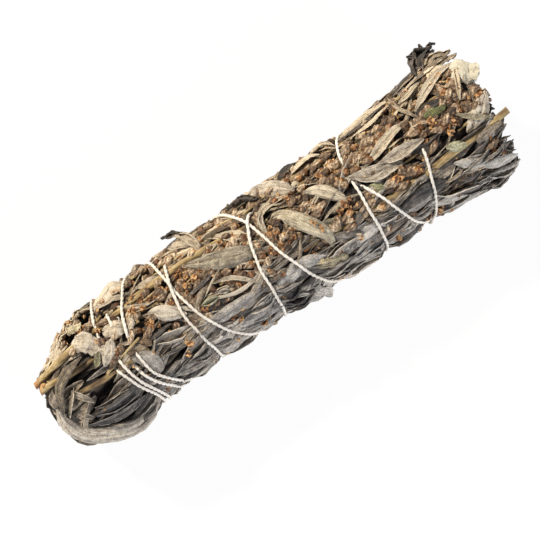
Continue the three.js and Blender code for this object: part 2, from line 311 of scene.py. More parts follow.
def sunk(degrees):
    """How deep the string has sunk at this angle of its winding, from 0 to 1."""
    deepest = np.zeros(np.shape(degrees))
    for turn, start, end in SUNK_STRETCHES:
        inside = np.minimum(degrees - 360 * turn - start, end + 360 * turn - degrees)
        deepest = np.maximum(deepest, smooth(inside, -6, 5))
    return deepest


route_hold = 1 - sunk(route_angle)
STRING_REACH = 6  # how far from a piece, along the bundle, the string can be and still press it
UNDER_STRING, STRING_REST = -0.15, 0.45  # the leaves' height under it, and how far to each side
STRING_PULL = 0.85  # share of what stands above that height that it presses down


def under_string(x, angle, height):
    """Presses a height down under the string, wherever the string is near and hasn't sunk in."""
    near = np.abs(route_x - x.mean()) < np.ptp(x) / 2 + STRING_REACH
    if not near.any():
        return height
    along = x[:, None] - route_x[near][None, :]
    around = (angle[:, None] * WAIST_RADIUS - route_arc[near][None, :] + circumference / 2) % circumference
    apart = np.hypot(along, around - circumference / 2)
    nearest = apart.argmin(axis=1)
    ceiling = UNDER_STRING + np.maximum(0, apart.min(axis=1) - STRING_REST)
    return height - STRING_PULL * route_hold[near][nearest] * np.maximum(0, height - ceiling)


# ---- Core stems ----
# Seven dry stems up the middle. Each is a ribbed woody tube with a pale pith, cut square with
# secateurs, so the pith shows in a shallow dish at both ends.
def pick(piece, chosen=None):
    """Goes into edit mode with only the points whose place passes the test selected, or with them all."""
    bpy.ops.object.mode_set(mode="EDIT")
    bpy.ops.mesh.select_mode(type="VERT")
    bpy.ops.mesh.select_all(action="DESELECT" if chosen else "SELECT")
    if chosen:
        bpy.ops.object.mode_set(mode="OBJECT")
        for vertex in piece.data.vertices:
            vertex.select = bool(chosen(vertex.co))
        bpy.ops.object.mode_set(mode="EDIT")


def alone(piece):
    """Selects one piece, as the active one, and nothing else."""
    bpy.ops.object.select_all(action="DESELECT")
    piece.select_set(True)
    bpy.context.view_layer.objects.active = piece


def smooth_shaded(blank, degrees):
    """Leaves edit mode and shades a blank smooth, but for edges sharper than the angle."""
    bpy.ops.object.mode_set(mode="OBJECT")
    alone(blank)
    bpy.ops.object.shade_smooth_by_angle(angle=radians(degrees))


def stem_blank(sides, steps):
    """A straight stem along +X, 1 long and 1 in radius, with ribs and dished ends."""
    bpy.ops.mesh.primitive_circle_add(vertices=sides, radius=1, fill_type="NGON", rotation=(0, pi / 2, 0))
    bpy.ops.object.transform_apply(rotation=True)
    stem = bpy.context.object
    pick(stem)
    for _ in range(steps):
        bpy.ops.mesh.extrude_region_move(TRANSFORM_OT_translate={"value": (1 / steps, 0, 0)})
    # Every other line of points sinks in, and those between stand out as ribs.
    pick(stem, lambda co: round(np.arctan2(co.z, co.y) / (4 * pi / sides), 2) % 1 == 0)
    bpy.ops.transform.resize(value=(1, 0.94, 0.94), center_override=(0.5, 0, 0))
    for x, inward in ((0, 0.004), (1, -0.004)):
        pick(stem, lambda co: abs(co.x - x) < 1e-4)
        bpy.ops.mesh.inset(thickness=0.3, use_even_offset=False)
        bpy.ops.transform.translate(value=(inward, 0, 0))
    pick(stem)
    bpy.ops.mesh.normals_make_consistent(inside=False)
    smooth_shaded(stem, 50)
    return stem


def places_of(blank):
    """The places of a blank's points, one to a row."""
    places = np.empty(len(blank.data.vertices) * 3)
    blank.data.vertices.foreach_get("co", places)
    return places.reshape(-1, 3)


def unit_rows(rows):
    return rows / np.linalg.norm(rows, axis=1, keepdims=True)


def length_at(line):
    """The length of a line of points from its start up to each point."""
    return np.concatenate([[0], np.cumsum(np.linalg.norm(np.diff(line, axis=0), axis=1))])


def curve_through(points, shares):
    """A smooth curve through rows of points: its places at shares of its length, and its direction."""
    points = np.array(points, float)
    if len(points) == 2:
        points = np.array([points[0], points.mean(axis=0), points[1]])
    padded = np.vstack([2 * points[0] - points[1], points, 2 * points[-1] - points[-2]])
    at = np.linspace(0, len(points) - 1, 16 * (len(points) - 1) + 1)
    i = np.minimum(at.astype(int), len(points) - 2)
    share = (at - i)[:, None]
    before, start, end, after = [padded[i + k] for k in range(4)]
    bend = 2 * before - 5 * start + 4 * end - after + share * (3 * start - before - 3 * end + after)
    dense = start + 0.5 * share * (end - before + share * bend)
    length = length_at(dense)
    slope = np.gradient(dense, length, axis=0)
    along = shares * length[-1]
    place = np.stack([np.interp(along, length, column) for column in dense.T], axis=-1)
    slope = np.stack([np.interp(along, length, column) for column in slope.T], axis=-1)
    return place, unit_rows(slope)


def copy_of(blank, places, tone=0.5, green=0.0, warm=0.5):
    """A copy of a blank with a mesh of its own, moved to new places, with its tint on each point."""
    copy = blank.copy()
    copy.data = blank.data.copy()
    copy.data.vertices.foreach_set("co", np.ascontiguousarray(places, dtype=float).ravel())
    tint = np.empty((len(places), 4))
    tint[:, 0], tint[:, 1], tint[:, 2], tint[:, 3] = tone, green, warm, 1
    copy.data.attributes.new("tint", "FLOAT_COLOR", "POINT").data.foreach_set("color", tint.ravel())
    bpy.context.collection.objects.link(copy)
    return copy


DEPTH_PAINTED_SHADE = 0.2  # painted light and shade: how much paler each millimetre higher a point lies, so deeper layers look shaded


def lay(blank, route, width, roll=0.0, tone=0.5, green=0.0, warm=0.5):
    """Lays a blank along a route of (x, degrees, height), rolled about it, and down under the string."""
    unit = places_of(blank)
    points = [(x, radians(degrees) * WAIST_RADIUS, height) for x, degrees, height in route]
    place, heading = curve_through(points, unit[:, 0])
    level = np.maximum(np.hypot(heading[:, 0], heading[:, 1]), 0.05)
    girth = seat_radius(place[:, 0], place[:, 1] / WAIST_RADIUS) / WAIST_RADIUS
    side = (unit[:, 1] * cos(roll) - unit[:, 2] * sin(roll)) * width / level
    up = (unit[:, 1] * sin(roll) + unit[:, 2] * cos(roll)) * width
    x = place[:, 0] + heading[:, 1] * side - heading[:, 2] * heading[:, 0] / level * up
    arc = place[:, 1] - (heading[:, 0] * side + heading[:, 2] * heading[:, 1] / level * up) / girth
    height = under_string(x, arc / WAIST_RADIUS, place[:, 2] + level * up)
    # Painted light and shade: higher points are painted paler and deeper ones darker.
    tone = tone + DEPTH_PAINTED_SHADE * np.clip(height + 0.5, -1.5, 1.5)
    return copy_of(blank, on_bundle(x, arc / WAIST_RADIUS, height), tone, green, warm)


def joined(name, copies, material=None):
    """One piece made of many copies, in one material or in each copy's own."""
    alone(copies[0])
    for copy in copies:
        copy.select_set(True)
    if len(copies) > 1:
        bpy.ops.object.join()
    piece = bpy.context.object
    piece.name = piece.data.name = name
    if material:
        piece.data.materials.clear()
        piece.data.materials.append(material)
    return piece


def finished(piece, slot, *nodes):
    """Every piece rides on the one body and stands for its nodes, which are hidden. The slot is not used."""
    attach(piece, "root")
    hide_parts(*nodes)


def stem_finish():
    """Dry bark: streaked lengthwise, blotched, and rusty where the tint's green is high."""
    bark = Finish("dry_stem")
    place = bark.node("TexCoord", output="Object")
    tone = bark.channel("tint", 0)
    rust = bark.channel("tint", 1)
    streak_place = bark.node("Mapping", None, {"Vector": place, "Scale": (0.12, 1, 1)})
    streak = bark.grain(streak_place, 0.5 * MM, 3)
    blotch = bark.grain(place, 3 * MM, 2)
    shade = tone + (streak - 0.5) * 1.2 + (blotch - 0.5) * 0.8
    plain = bark.ramp(shade, (0.05, (0.035, 0.022, 0.012)), (0.35, (0.14, 0.09, 0.042)),
                      (0.62, (0.31, 0.216, 0.092)), (0.95, (0.55, 0.44, 0.24)))
    rust_colour = (0.36, 0.13, 0.035)
    colour = bark.blend(rust, plain, rust_colour)
    return bark.dress(Base_Color=colour, Roughness=0.78, Normal=bark.bump(streak, 0.3 * MM))


dry_stem = stem_finish()

stem_pattern = stem_blank(sides=16, steps=26)
stem_places = places_of(stem_pattern)
PITH_PALER, PITH_SHARE = 0.35, 0.75


def pith_of(places, where):
    """How much paler a stem's points are where its cut ends show the pith."""
    return PITH_PALER * (where & (np.hypot(places[:, 1], places[:, 2]) < PITH_SHARE))


pith = pith_of(stem_places, np.abs(stem_places[:, 0] - 0.5) > 0.49)
CORE_STEM_PITCH = 3.0  # from the middle one to the six round it
CORE_STEM_ENDS = [(-55, 61), (-53, 62), (-56, 59), (-52, 60), (-56, 61), (-54, 58), (-53, 60)]
chance = random.Random(7)
for i, (start, end) in enumerate(CORE_STEM_ENDS):
    ring = 0 if i == 0 else CORE_STEM_PITCH
    turn = i / 6 * 2 * pi
    radius = CORE_STEM_RADIUS * chance.uniform(0.8, 1.05)
    x = start + (end - start) * stem_places[:, 0]
    y = ring * cos(turn) + 0.25 * np.sin(x / 7 + i) + stem_places[:, 1] * radius
    z = ring * sin(turn) + stem_places[:, 2] * radius
    stem = copy_of(stem_pattern, from_axis(x, y, z), chance.uniform(0.3, 0.6) + pith)
    finished(joined(f"inner_stem_{i + 1:02d}", [stem], dry_stem), "stem", f"core_stem_{i + 1:02d}")

# ---- Packed leaves and their flowers ----
# Nine flowering sprigs, dried and pressed lengthwise round the stems. Each piece is a sprig's crushed
# inner leaves, three coats of whole ones shingled over them, and its own twigs of flower heads. The tips
# turn in over the folded end, and at the open end cut stems and the inner leaves' ends show.
LANCE = (0.12, 0.50, 0.82, 1.0, 0.97, 0.80, 0.48, 0.05)
BLUNT = (0.25, 0.70, 0.94, 1.0, 1.0, 0.90, 0.64, 0.12)
# The lengthwise lines of a leaf, as (y, z) across it.
PLAIN = ((-0.5, -0.03), (-0.25, 0.04), (0, -0.02), (0.25, 0.04), (0.5, 0.03))
VALLEY = ((-0.4, 0.26), (-0.22, 0.10), (0.0, -0.02), (0.22, 0.12), (0.38, 0.34))
RIDGE = ((-0.42, -0.25), (-0.24, 0.01), (0, 0.05), (0.24, 0.01), (0.42, -0.27))
ROLLED = ((-0.27, -0.15), (-0.43, -0.1), (-0.36, 0.04), (0, 0.02), (0.36, 0.05), (0.44, -0.09), (0.26, -0.16))
CURLED = ((0.06, 0.3), (-0.3, 0.24), (-0.38, -0.05), (-0.05, -0.18), (0.33, -0.06), (0.36, 0.2), (0.12, 0.33))
HOODED = ((-0.1, 0.27), (-0.34, 0.2), (-0.42, 0.02), (-0.12, -0.06), (0.18, -0.03), (0.42, 0.02), (0.5, 0.09))


def thickened(piece, thickness, offset):
    """Leaves edit mode and gives a sheet the leaf's finish and a thickness, all under it at offset -1."""
    bpy.ops.object.mode_set(mode="OBJECT")
    thicken = piece.modifiers.new("sheet", "SOLIDIFY")
    thicken.thickness = thickness
    thicken.offset = offset
    bpy.ops.object.modifier_apply(modifier=thicken.name)
    piece.data.materials.append(dry_leaf)


def leaf_blank(outline, lines, rows=7, wave=0.03, twist=0.0, crumple=0.0, seed=0):
    """A leaf along +X, 1 long and 1 wide, shaped across by its lines and along by its outline."""
    columns = len(lines) - 1
    bpy.ops.mesh.primitive_grid_add(x_subdivisions=rows, y_subdivisions=columns, size=1, location=(0.5, 0, 0))
    bpy.ops.object.transform_apply(location=True)
    leaf = bpy.context.object
    for j, (y, z) in enumerate(lines):
        start = j / columns - 0.5
        pick(leaf, lambda co: abs(co.y - start) < 1e-3 and co.z == 0)
        bpy.ops.transform.translate(value=(0, y - start, z))
    for i in range(rows + 1):
        x = i / rows
        width = float(np.interp(x, np.linspace(0, 1, len(outline)), outline))
        pick(leaf, lambda co: abs(co.x - x) < 1e-3)
        bpy.ops.transform.resize(value=(1, width, width), center_override=(x, 0, 0))
        bpy.ops.transform.rotate(value=twist * (x - 0.4), orient_axis="X", center_override=(x, 0, 0))
        bpy.ops.transform.translate(value=(0, wave * cos(x * 7.0 + seed), wave * sin(x * 9.0 + seed)))
    pick(leaf)
    bpy.ops.transform.vertex_random(offset=crumple, uniform=1.0, seed=seed)
    thickened(leaf, 0.04, 0)
    smooth_shaded(leaf, 75)
    return leaf


def leaf_finish():
    """Dry woolly leaf: paler at the rib, and at the rim from its pale wool and a painted highlight; painted
    shade in the creases of tan leaves and painted highlights along those of grey ones; mottled and specked.
    """
    wool = Finish("dry_leaf")
    tone = wool.channel("tint", 0)
    green = wool.channel("tint", 1)
    warm = wool.channel("tint", 2)
    place = wool.node("TexCoord", output="Object")
    uv = wool.node("TexCoord", output="UV")
    u = wool.node("SeparateXYZ", None, {"Vector": uv})
    v = wool.node("SeparateXYZ", None, {"Vector": uv}, output=1)
    side = wool.math("ABSOLUTE", v - 0.5) * 2
    flow = wool.node("CombineXYZ", None, {"X": u * 2.0, "Y": v * 6.0, "Z": warm * 40})
    streak = wool.grain(flow, 0.6, 4)
    fold_flow = wool.node("CombineXYZ", None, {"X": u * 1.6, "Y": v * 8.0, "Z": warm * 71})
    fold = wool.math("ABSOLUTE", wool.grain(fold_flow, 0.9, 2) - 0.5)
    crease = 1 - wool.step(fold, 0.0, 0.045)
    fine = wool.grain(place, 0.25 * MM, 2)
    mottle = wool.grain(place, 1.3 * MM, 3)
    rib = 1 - wool.step(side, 0.03, 0.16)
    edge = wool.step(side, 0.88, 1.0)
    # Painted light and shade: the rim gets a painted highlight on top of its pale wool, and the creases get
    # painted shade on tan leaves and painted highlights on grey ones.
    shade = (tone + (streak - 0.5) * (0.8 + warm * 0.4) + (mottle - 0.5) * 0.8
             + (fine - 0.5) * 1.1 + rib * 0.08 + edge * (0.34 - warm * 0.22)
             + crease * (0.12 - warm * 0.32))
    cool = wool.ramp(shade, (0.0, (0.034, 0.030, 0.028)), (0.3, (0.097, 0.087, 0.079)),
                     (0.6, (0.24, 0.215, 0.190)), (1.0, (0.58, 0.54, 0.48)))
    tan = wool.ramp(shade, (0.0, (0.036, 0.026, 0.017)), (0.3, (0.125, 0.089, 0.057)),
                    (0.6, (0.315, 0.242, 0.152)), (1.0, (0.70, 0.58, 0.40)))
    dry = wool.blend(warm, cool, tan)
    still_green, brown_speck = (0.72, 0.92, 0.42), (0.27, 0.13, 0.045)
    leafy = wool.blend(green, dry, wool.blend(1.0, dry, still_green, "MULTIPLY"))
    speck = wool.step(wool.grain(place, 0.9 * MM, 1), 0.68, 0.74)
    colour = wool.blend(speck * 0.6, leafy, brown_speck)
    return wool.dress(
        Base_Color=colour, Roughness=0.85, Sheen_Weight=0.1, Sheen_Roughness=0.6,
        Normal=wool.bump(fine * 0.4 + streak + rib * 0.25 - crease * 0.3, 0.22 * MM))


dry_leaf = leaf_finish()

BROAD = ((-0.46, -0.14), (-0.4, -0.04), (-0.25, 0.07), (-0.07, 0.06), (0, 0.01), (0.07, 0.06), (0.25, 0.08),
         (0.41, -0.02), (0.47, -0.12))
BOAT = ((-0.42, 0.22), (-0.32, 0.13), (-0.20, 0.06), (-0.07, -0.01), (0.0, -0.05), (0.07, 0.0), (0.20, 0.06),
        (0.34, 0.09), (0.45, 0.13))
SCROLL = ((-0.2, 0.24), (-0.34, 0.22), (-0.4, 0.08), (-0.26, 0), (-0.02, -0.03), (0.18, 0.02), (0.38, 0.06),
          (0.42, 0.2), (0.28, 0.27))
LEAN = (0.10, 0.34, 0.62, 0.86, 0.98, 1.0, 0.96, 0.86, 0.68, 0.42, 0.04)
STRAP = (0.30, 0.75, 0.95, 1.0, 0.97, 1.0, 0.98, 0.90, 0.80, 0.60, 0.25)
RAGGED = (0.35, 0.72, 0.95, 0.86, 1.0, 0.94, 0.80, 0.90, 0.62, 0.70, 0.30)
blades = {
    "broad": leaf_blank(LEAN, BROAD, rows=14, wave=0.04, crumple=0.03, seed=31),
    "boat": leaf_blank(LEAN, BOAT, rows=14, wave=0.045, twist=0.3, crumple=0.027, seed=32),
    "ragged": leaf_blank(RAGGED, BROAD, rows=16, wave=0.06, twist=0.2, crumple=0.04, seed=36),
    "scroll": leaf_blank(LEAN, SCROLL, rows=14, wave=0.04, twist=-0.3, crumple=0.03, seed=33),
    "strap": leaf_blank(STRAP, BROAD, rows=18, wave=0.05, crumple=0.025, seed=34),
    "torn": leaf_blank(STRAP, SCROLL, rows=14, wave=0.10, twist=0.8, crumple=0.07, seed=35),
}
inner_patterns = [
    leaf_blank(LANCE, PLAIN, wave=0.04, seed=1),
    leaf_blank(LANCE, VALLEY, twist=-0.3, seed=2),
    leaf_blank(BLUNT, RIDGE, wave=0.05, twist=0.4, seed=3),
    leaf_blank(LANCE, RIDGE, wave=0.06, twist=1.2, seed=4),
]
OUTER_SHAPES = [
    (LANCE, ROLLED, 0.2), (BLUNT, ROLLED, -0.4), (LANCE, CURLED, 0.5), (LANCE, CURLED, -0.8),
    (BLUNT, HOODED, 0.3), (LANCE, HOODED, -0.5), (LANCE, VALLEY, 0.6), (BLUNT, PLAIN, 0.4),
    (LANCE, RIDGE, -0.9), (LANCE, PLAIN, 1.3), (BLUNT, VALLEY, -0.3), (LANCE, ROLLED, 1.0),
]
outer_patterns = [
    leaf_blank(outline, lines, rows=9, wave=0.05, twist=twist, crumple=0.035, seed=seed)
    for seed, (outline, lines, twist) in enumerate(OUTER_SHAPES, 11)
]


def head_finish():
    """Flower heads: grey-tan bracts with painted shade in the clefts between them and painted highlights on
    their rims, and russet florets where they are ripe.
    """
    head = Finish("dry_head")
    tone = head.channel("tint", 0)
    relief_shade = head.channel("bloom", 0)
    ripeness = head.channel("bloom", 1)
    place = head.node("TexCoord", output="Object")
    grain = head.grain(place, 0.25 * MM, 3)
    blotch = head.grain(place, 1.1 * MM, 2)
    uneven = 1.6 * head.step(head.grain(place, 0.8 * MM, 1), 0.3, 0.7) + 0.2
    # Painted shade in the clefts and painted highlights on the raised points, unevenly spread.
    shade = tone + relief_shade * uneven + (grain - 0.5) * 1.2 + (blotch - 0.5) * 1.1
    bract = head.ramp(shade, (0.0, (0.024, 0.015, 0.009)), (0.35, (0.090, 0.054, 0.031)),
                      (0.68, (0.25, 0.165, 0.098)), (1.0, (0.68, 0.55, 0.38)))
    floret = head.ramp(shade, (0.0, (0.018, 0.009, 0.005)), (0.35, (0.084, 0.033, 0.012)),
                       (0.68, (0.235, 0.096, 0.029)), (1.0, (0.62, 0.37, 0.16)))
    turned = head.step(ripeness + (blotch - 0.5) * 1.0, 0.45, 0.8)
    return head.dress(Base_Color=head.blend(turned, bract, floret), Roughness=0.75,
                      Normal=head.bump(grain, 0.12 * MM))


dry_head = head_finish()


def painted(blank, relief_shade, ripeness):
    """Paints shade and highlight onto each point of a blank by how it lies beside its neighbours, and marks
    how russet it is.
    """
    bloom = np.zeros((len(blank.data.vertices), 4))
    bloom[:, 0], bloom[:, 1], bloom[:, 3] = relief_shade, ripeness, 1
    blank.data.attributes.new("bloom", "FLOAT_COLOR", "POINT").data.foreach_set("color", bloom.ravel())
    blank.data.materials.append(dry_head)


BUD_COLUMNS, BUD_ROWS = 10, 6  # of the sphere that a head starts as


def in_cleft(co):
    """Whether a point of that sphere lies between bracts."""
    row = round(float(np.arccos(np.clip(co[0] / 0.5, -1, 1))) * BUD_ROWS / pi)
    column = round(float(np.arctan2(co[2], co[1])) * BUD_COLUMNS / 2 / pi)
    return 0 < row < BUD_ROWS and (row + column) % 2 == 1


def bud_blank(mouth_width, ripe_from, seed):
    """A flower head along +X, 1 long and 1 wide: rows of woolly bracts that overlap like scales."""
    bpy.ops.mesh.primitive_uv_sphere_add(
        segments=BUD_COLUMNS, ring_count=BUD_ROWS, radius=0.5, rotation=(0, pi / 2, 0))
    bpy.ops.object.transform_apply(rotation=True)
    bud = bpy.context.object
    places = places_of(bud)
    clefts = np.array([in_cleft(place) for place in places])
    # Painted shade in the clefts between the bracts, and a painted highlight on the bracts.
    painted(bud, np.where(clefts, -0.22, 0.10), smooth(places[:, 0], ripe_from, ripe_from + 0.5))
    pick(bud, in_cleft)
    bpy.ops.transform.resize(value=(1, 0.84, 0.84), center_override=(0, 0, 0))
    pick(bud, lambda co: abs(co.x) < 0.49 and not in_cleft(co) and np.hypot(co.y, co.z) > 0.2)
    bpy.ops.transform.translate(value=(0.07, 0, 0))
    pick(bud, lambda co: co.x < -0.15)
    bpy.ops.transform.resize(value=(1.15, 0.72, 0.72), center_override=(-0.15, 0, 0))
    pick(bud, lambda co: co.x > 0.28)
    bpy.ops.transform.resize(value=(1, mouth_width, mouth_width), center_override=(0.4, 0, 0))
    pick(bud)
    bpy.ops.transform.vertex_random(offset=0.04, uniform=1.0, seed=seed)
    bpy.ops.transform.translate(value=(0.55, 0, 0))
    smooth_shaded(bud, 40)
    return bud


def crumb_blank(subdivisions, roughness, seed):
    """A knot of open florets from x = 0 to 1: small grains crowded together."""
    bpy.ops.mesh.primitive_ico_sphere_add(subdivisions=subdivisions, radius=0.45)
    crumb = bpy.context.object
    pick(crumb)
    bpy.ops.transform.vertex_random(offset=roughness, uniform=0.4, normal=1.0, seed=seed)
    bpy.ops.object.mode_set(mode="OBJECT")
    out = np.linalg.norm(places_of(crumb), axis=1)
    # Painted shade in the knot's hollows and painted light on its outermost grains.
    painted(crumb, 0.7 * (out - out.mean()) / np.ptp(out), 1.0)
    pick(crumb)
    bpy.ops.transform.translate(value=(0.5, 0, 0))
    smooth_shaded(crumb, 30)
    return crumb


def open_head_blank(seed):
    """A flower head whose bracts have parted round a knot of florets."""
    cup = bud_blank(1.35, 0.1, seed)
    knot = crumb_blank(2, 0.2, seed)
    alone(knot)
    knot.scale = (0.5, 0.62, 0.62)
    knot.location = (0.62, 0, 0)
    bpy.ops.object.transform_apply(location=True, scale=True)
    return joined("open_head", [cup, knot])


bud_patterns = [bud_blank(0.75, 0.0, 1), bud_blank(0.95, -0.2, 2), bud_blank(0.85, 0.15, 3)]
head_patterns = [*bud_patterns, open_head_blank(4), open_head_blank(5)]
crumb_patterns = [crumb_blank(2, 0.22, 6), crumb_blank(2, 0.28, 7), crumb_blank(2, 0.18, 8)]
grain_pattern = crumb_blank(1, 0.25, 9)
twig_pattern = stem_blank(sides=6, steps=8)
twig_pattern.data.materials.append(dry_stem)
cut_stem_pattern = stem_blank(sides=12, steps=5)
cut_stem_pattern.data.materials.append(dry_stem)
cut_stem_places = places_of(cut_stem_pattern)
cut_stem_pith = pith_of(cut_stem_places, cut_stem_places[:, 0] > 0.99)


def lay_spray(route, count, tone=0.5):
    """A thin stalk with flower heads set alternately along it, pointing on and outwards."""
    points = [(x, radians(degrees) * WAIST_RADIUS, height) for x, degrees, height in route]
    shares = (np.arange(count) + 0.5) / count
    place, heading = curve_through(points, shares)
    parts = [lay(twig_pattern, route, 0.32, tone=0.5)]
    for k in range(count):
        x, arc, height = place[k]
        side = (1 if k % 2 else -1) * chance.uniform(0.2, 1.0)
        x -= heading[k, 1] * side * 0.5
        arc += heading[k, 0] * side * 0.5
        length = chance.uniform(2.6, 3.9)
        lean = chance.uniform(0.1, 0.9)
        tip_x = x + length * (heading[k, 0] * cos(lean) - heading[k, 1] * sin(lean) * np.sign(side))
        tip_arc = arc + length * (heading[k, 1] * cos(lean) + heading[k, 0] * sin(lean) * np.sign(side))
        tip_height = height + chance.uniform(-0.4, 0.7)
        ends = [(x, np.degrees(arc / WAIST_RADIUS), height),
                (tip_x, np.degrees(tip_arc / WAIST_RADIUS), tip_height)]
        parts.append(lay(chance.choice(head_patterns), ends, chance.uniform(1.8, 2.7),
                         roll=chance.uniform(0, 6), tone=tone + chance.uniform(-0.45, 0.15)))
    return parts


def flowering(degrees):
    """How much of the surface is flower heads at this angle, from 0 to 1."""
    return max(0.0, 1.3 * cos(radians(degrees + 42)) - 0.3, 0.6 * cos(radians(degrees - 200)))


LEAVES_START, LAST_START, LEAVES_STOP = -62.0, 56.5, 61.0  # leaves' first and last starts, and last end
MOUTH_DEPTH = 3.6


def leaves_end(degrees):
    """Where the leaves end at the open end: soonest at the sides and underneath."""
    return LEAVES_STOP - min(3.5, 4.2 * (1 - cos(radians(degrees - 5))))


def hollow(x, degrees, middle, reach, rim):
    """How far inside an oval hollow a place is, from 0 to 1: middle and reach are (x, degrees)."""
    apart = np.hypot((x - middle[0]) / reach[0], (degrees - middle[1]) / reach[1])
    return 1 - smooth(apart, rim, rim + 0.5)


def mouth(x, degrees):
    """The hollow among the folded tips, from 0 at its rim to 1 inside, and a shallower one in front."""
    in_front = hollow(x, degrees, (-50.5, 47), (9.5, 13), 0.6)
    return np.maximum(hollow(x, degrees, (-52, 8), (8.5, 32), 0.55), 0.5 * in_front)


def shaded(x, degrees):
    """How much painted shade the top gets where it dips between the outer stems, from 0 to 1."""
    return float(smooth(x, -6, 4)) * max(0.0, 1 - ((degrees + 9) / 34) ** 2)


GROOVES = [-76, -38, -12, 16, 50, 88, 130, 180, 230]
# Each: how far apart along the bundle, then the ranges of length, height, width and tone.
# Painted shade: the inner coats' low tones darken the gaps between the outer leaves.
INNER_COATS = [
    (8.5, (13, 20), (-2.7, -1.9), (3.0, 4.6), (-0.1, 0.15)),
    (8.0, (11, 18), (-1.8, -1.0), (2.6, 4.0), (-0.1, 0.3)),
]


def sprig_at(degrees):
    """Which sprig the angle belongs to, counted from the first groove."""
    turned = (degrees - GROOVES[0]) % 360
    return sum(turned >= (groove - GROOVES[0]) % 360 for groove in GROOVES) - 1


sprigs = [[] for _ in GROOVES]
WEDGE_START, WEDGE_END, WEDGE_TOP = -59, 50, -3.1


def grow(degrees, *parts):
    """Adds parts to the sprig that this angle belongs to."""
    sprigs[sprig_at(degrees)] += parts


def inner_leaves():
    """The crushed leaves of one sprig, as a wrinkled wedge 1 long and 1 wide whose top is at z = 0."""
    bpy.ops.mesh.primitive_grid_add(x_subdivisions=56, y_subdivisions=7, size=1)
    wedge = bpy.context.object
    thickened(wedge, 1, -1)
    smooth_shaded(wedge, 40)
    return wedge


wedge_pattern = inner_leaves()
wedge_places = places_of(wedge_pattern)
for i, groove in enumerate(GROOVES):
    following = GROOVES[i + 1] if i + 1 < len(GROOVES) else GROOVES[0] + 360
    reach = WEDGE_END - WEDGE_START + 5 * wedge_places[:, 2]
    x = WEDGE_START + reach * (wedge_places[:, 0] + 0.5)
    angle = np.radians(groove + (following - groove) * (0.5 - wedge_places[:, 1]))
    ridges = 0.5 * np.sin(angle * 23 + np.sin(x / 6) * 1.3) + 0.4 * np.sin(angle * 41 + x / 9)
    height = WEDGE_TOP + 5.2 * wedge_places[:, 2] + ridges * (1 + wedge_places[:, 2])
    height -= MOUTH_DEPTH * mouth(x, np.degrees(angle)) * (1 + wedge_places[:, 2])
    # Painted shade: the crushed inner leaves are painted dark so the gaps between the coats read as shadow,
    # and darker still towards the open end.
    tone = 0.05 - 0.5 * smooth(x, 38, 44)
    sprigs[i].append(copy_of(wedge_pattern, on_bundle(x, angle, height), tone, warm=i / 9))

chance = random.Random(21)


def scatter(pitch, rows):
    """Places in jittered rows over the bundle, as (x, degrees)."""
    for row in range(rows):
        x = LEAVES_START + chance.uniform(0, pitch)
        while x < LAST_START:
            yield x, (row + chance.uniform(-0.45, 0.45)) / rows * 360 - 180
            x += pitch * chance.uniform(0.75, 1.25)


def scatter_leaf(x, degrees, patterns, length, height, width, turn, roll, tone):
    """One leaf of a coat, about lengthwise, either end first: turn and roll say how unevenly it lies."""
    end = min(x + length, leaves_end(degrees) + chance.uniform(-2.5, 0.3))
    inside = float(mouth((x + end) / 2, degrees))
    far_side = max(0.0, cos(radians(degrees + 80)))
    height -= MOUTH_DEPTH * inside + 0.9 * far_side * smooth(-x, 36, 46)
    # Painted light and shade: paler on the far side, which faces the warm lamp, with painted shade inside the
    # hollows of the folded end and where the top dips between the outer stems.
    tone += 0.14 * far_side - 0.35 * inside - 0.22 * shaded(x, degrees)
    skew = chance.gauss(0, turn)
    route = [(x, degrees - skew, height), ((x + end) / 2, degrees + chance.gauss(0, 3), height + 0.3),
             (end, degrees + skew, height - 0.2 + chance.uniform(0, 0.7))]
    if chance.random() < 0.5:
        route.reverse()
    # Painted light: leaves on the side towards the warm lamp are painted warm tan, and those towards the
    # front and underneath cool grey.
    painted_lamp_warmth = 0.42 + 0.45 * cos(radians(degrees + 60))
    grow(degrees, lay(chance.choice(patterns), route, width, roll=chance.gauss(0, roll), tone=tone,
                      warm=min(1, max(0, chance.gauss(painted_lamp_warmth, 0.2)))))


for pitch, lengths, heights, widths, tones in INNER_COATS:
    for x, degrees in scatter(pitch, rows=24):
        scatter_leaf(x, degrees, inner_patterns, chance.uniform(*lengths), chance.uniform(*heights),
                     chance.uniform(*widths), turn=8, roll=0.3, tone=chance.uniform(*tones))

# The outer coat: long leaves where there are few flowers, and short narrow ones among them.
for x, degrees in scatter(pitch=7.0, rows=26):
    among = flowering(degrees)
    if chance.random() < 0.45 * among:
        continue
    length = chance.uniform(12, 21) * (1 - 0.42 * among)
    scatter_leaf(x, degrees, outer_patterns, length, chance.uniform(-0.9, 0.1),
                 chance.uniform(2.4, 4.4) * (1 - 0.3 * among), turn=5 + 9 * among, roll=0.2 + 0.3 * among,
                 tone=chance.uniform(-0.25, 0.75) + 0.17 * among)

# Broad grey leaves, pressed flat and smooth along the near side
GREY_LEAVES, TORN_BITS, TUCKED_TIPS = 30, 32, 60
for i in range(GREY_LEAVES):
    x = -56 + 6.2 * (i % 18) + chance.uniform(-2, 2)
    degrees = chance.uniform(30, 84)
    length = chance.uniform(9, 19)
    end = min(x + length, leaves_end(degrees) - 0.5)
    height = chance.uniform(0.0, 0.4) - MOUTH_DEPTH * float(mouth((x + end) / 2, degrees))
    route = [(x, degrees + chance.gauss(0, 5), height), ((x + end) / 2, degrees, height + 0.4),
             (end, degrees + chance.gauss(0, 5), height)]
    if chance.random() < 0.5:
        route.reverse()
    blade = blades[chance.choice(["broad", "boat", "scroll"])]
    grow(degrees, lay(blade, route, chance.uniform(2.5, 4.5), roll=chance.gauss(0, 0.3),
                      tone=chance.choice([-0.15, 0.1, 0.3, 0.5, 0.65]), warm=chance.uniform(0, 0.3)))

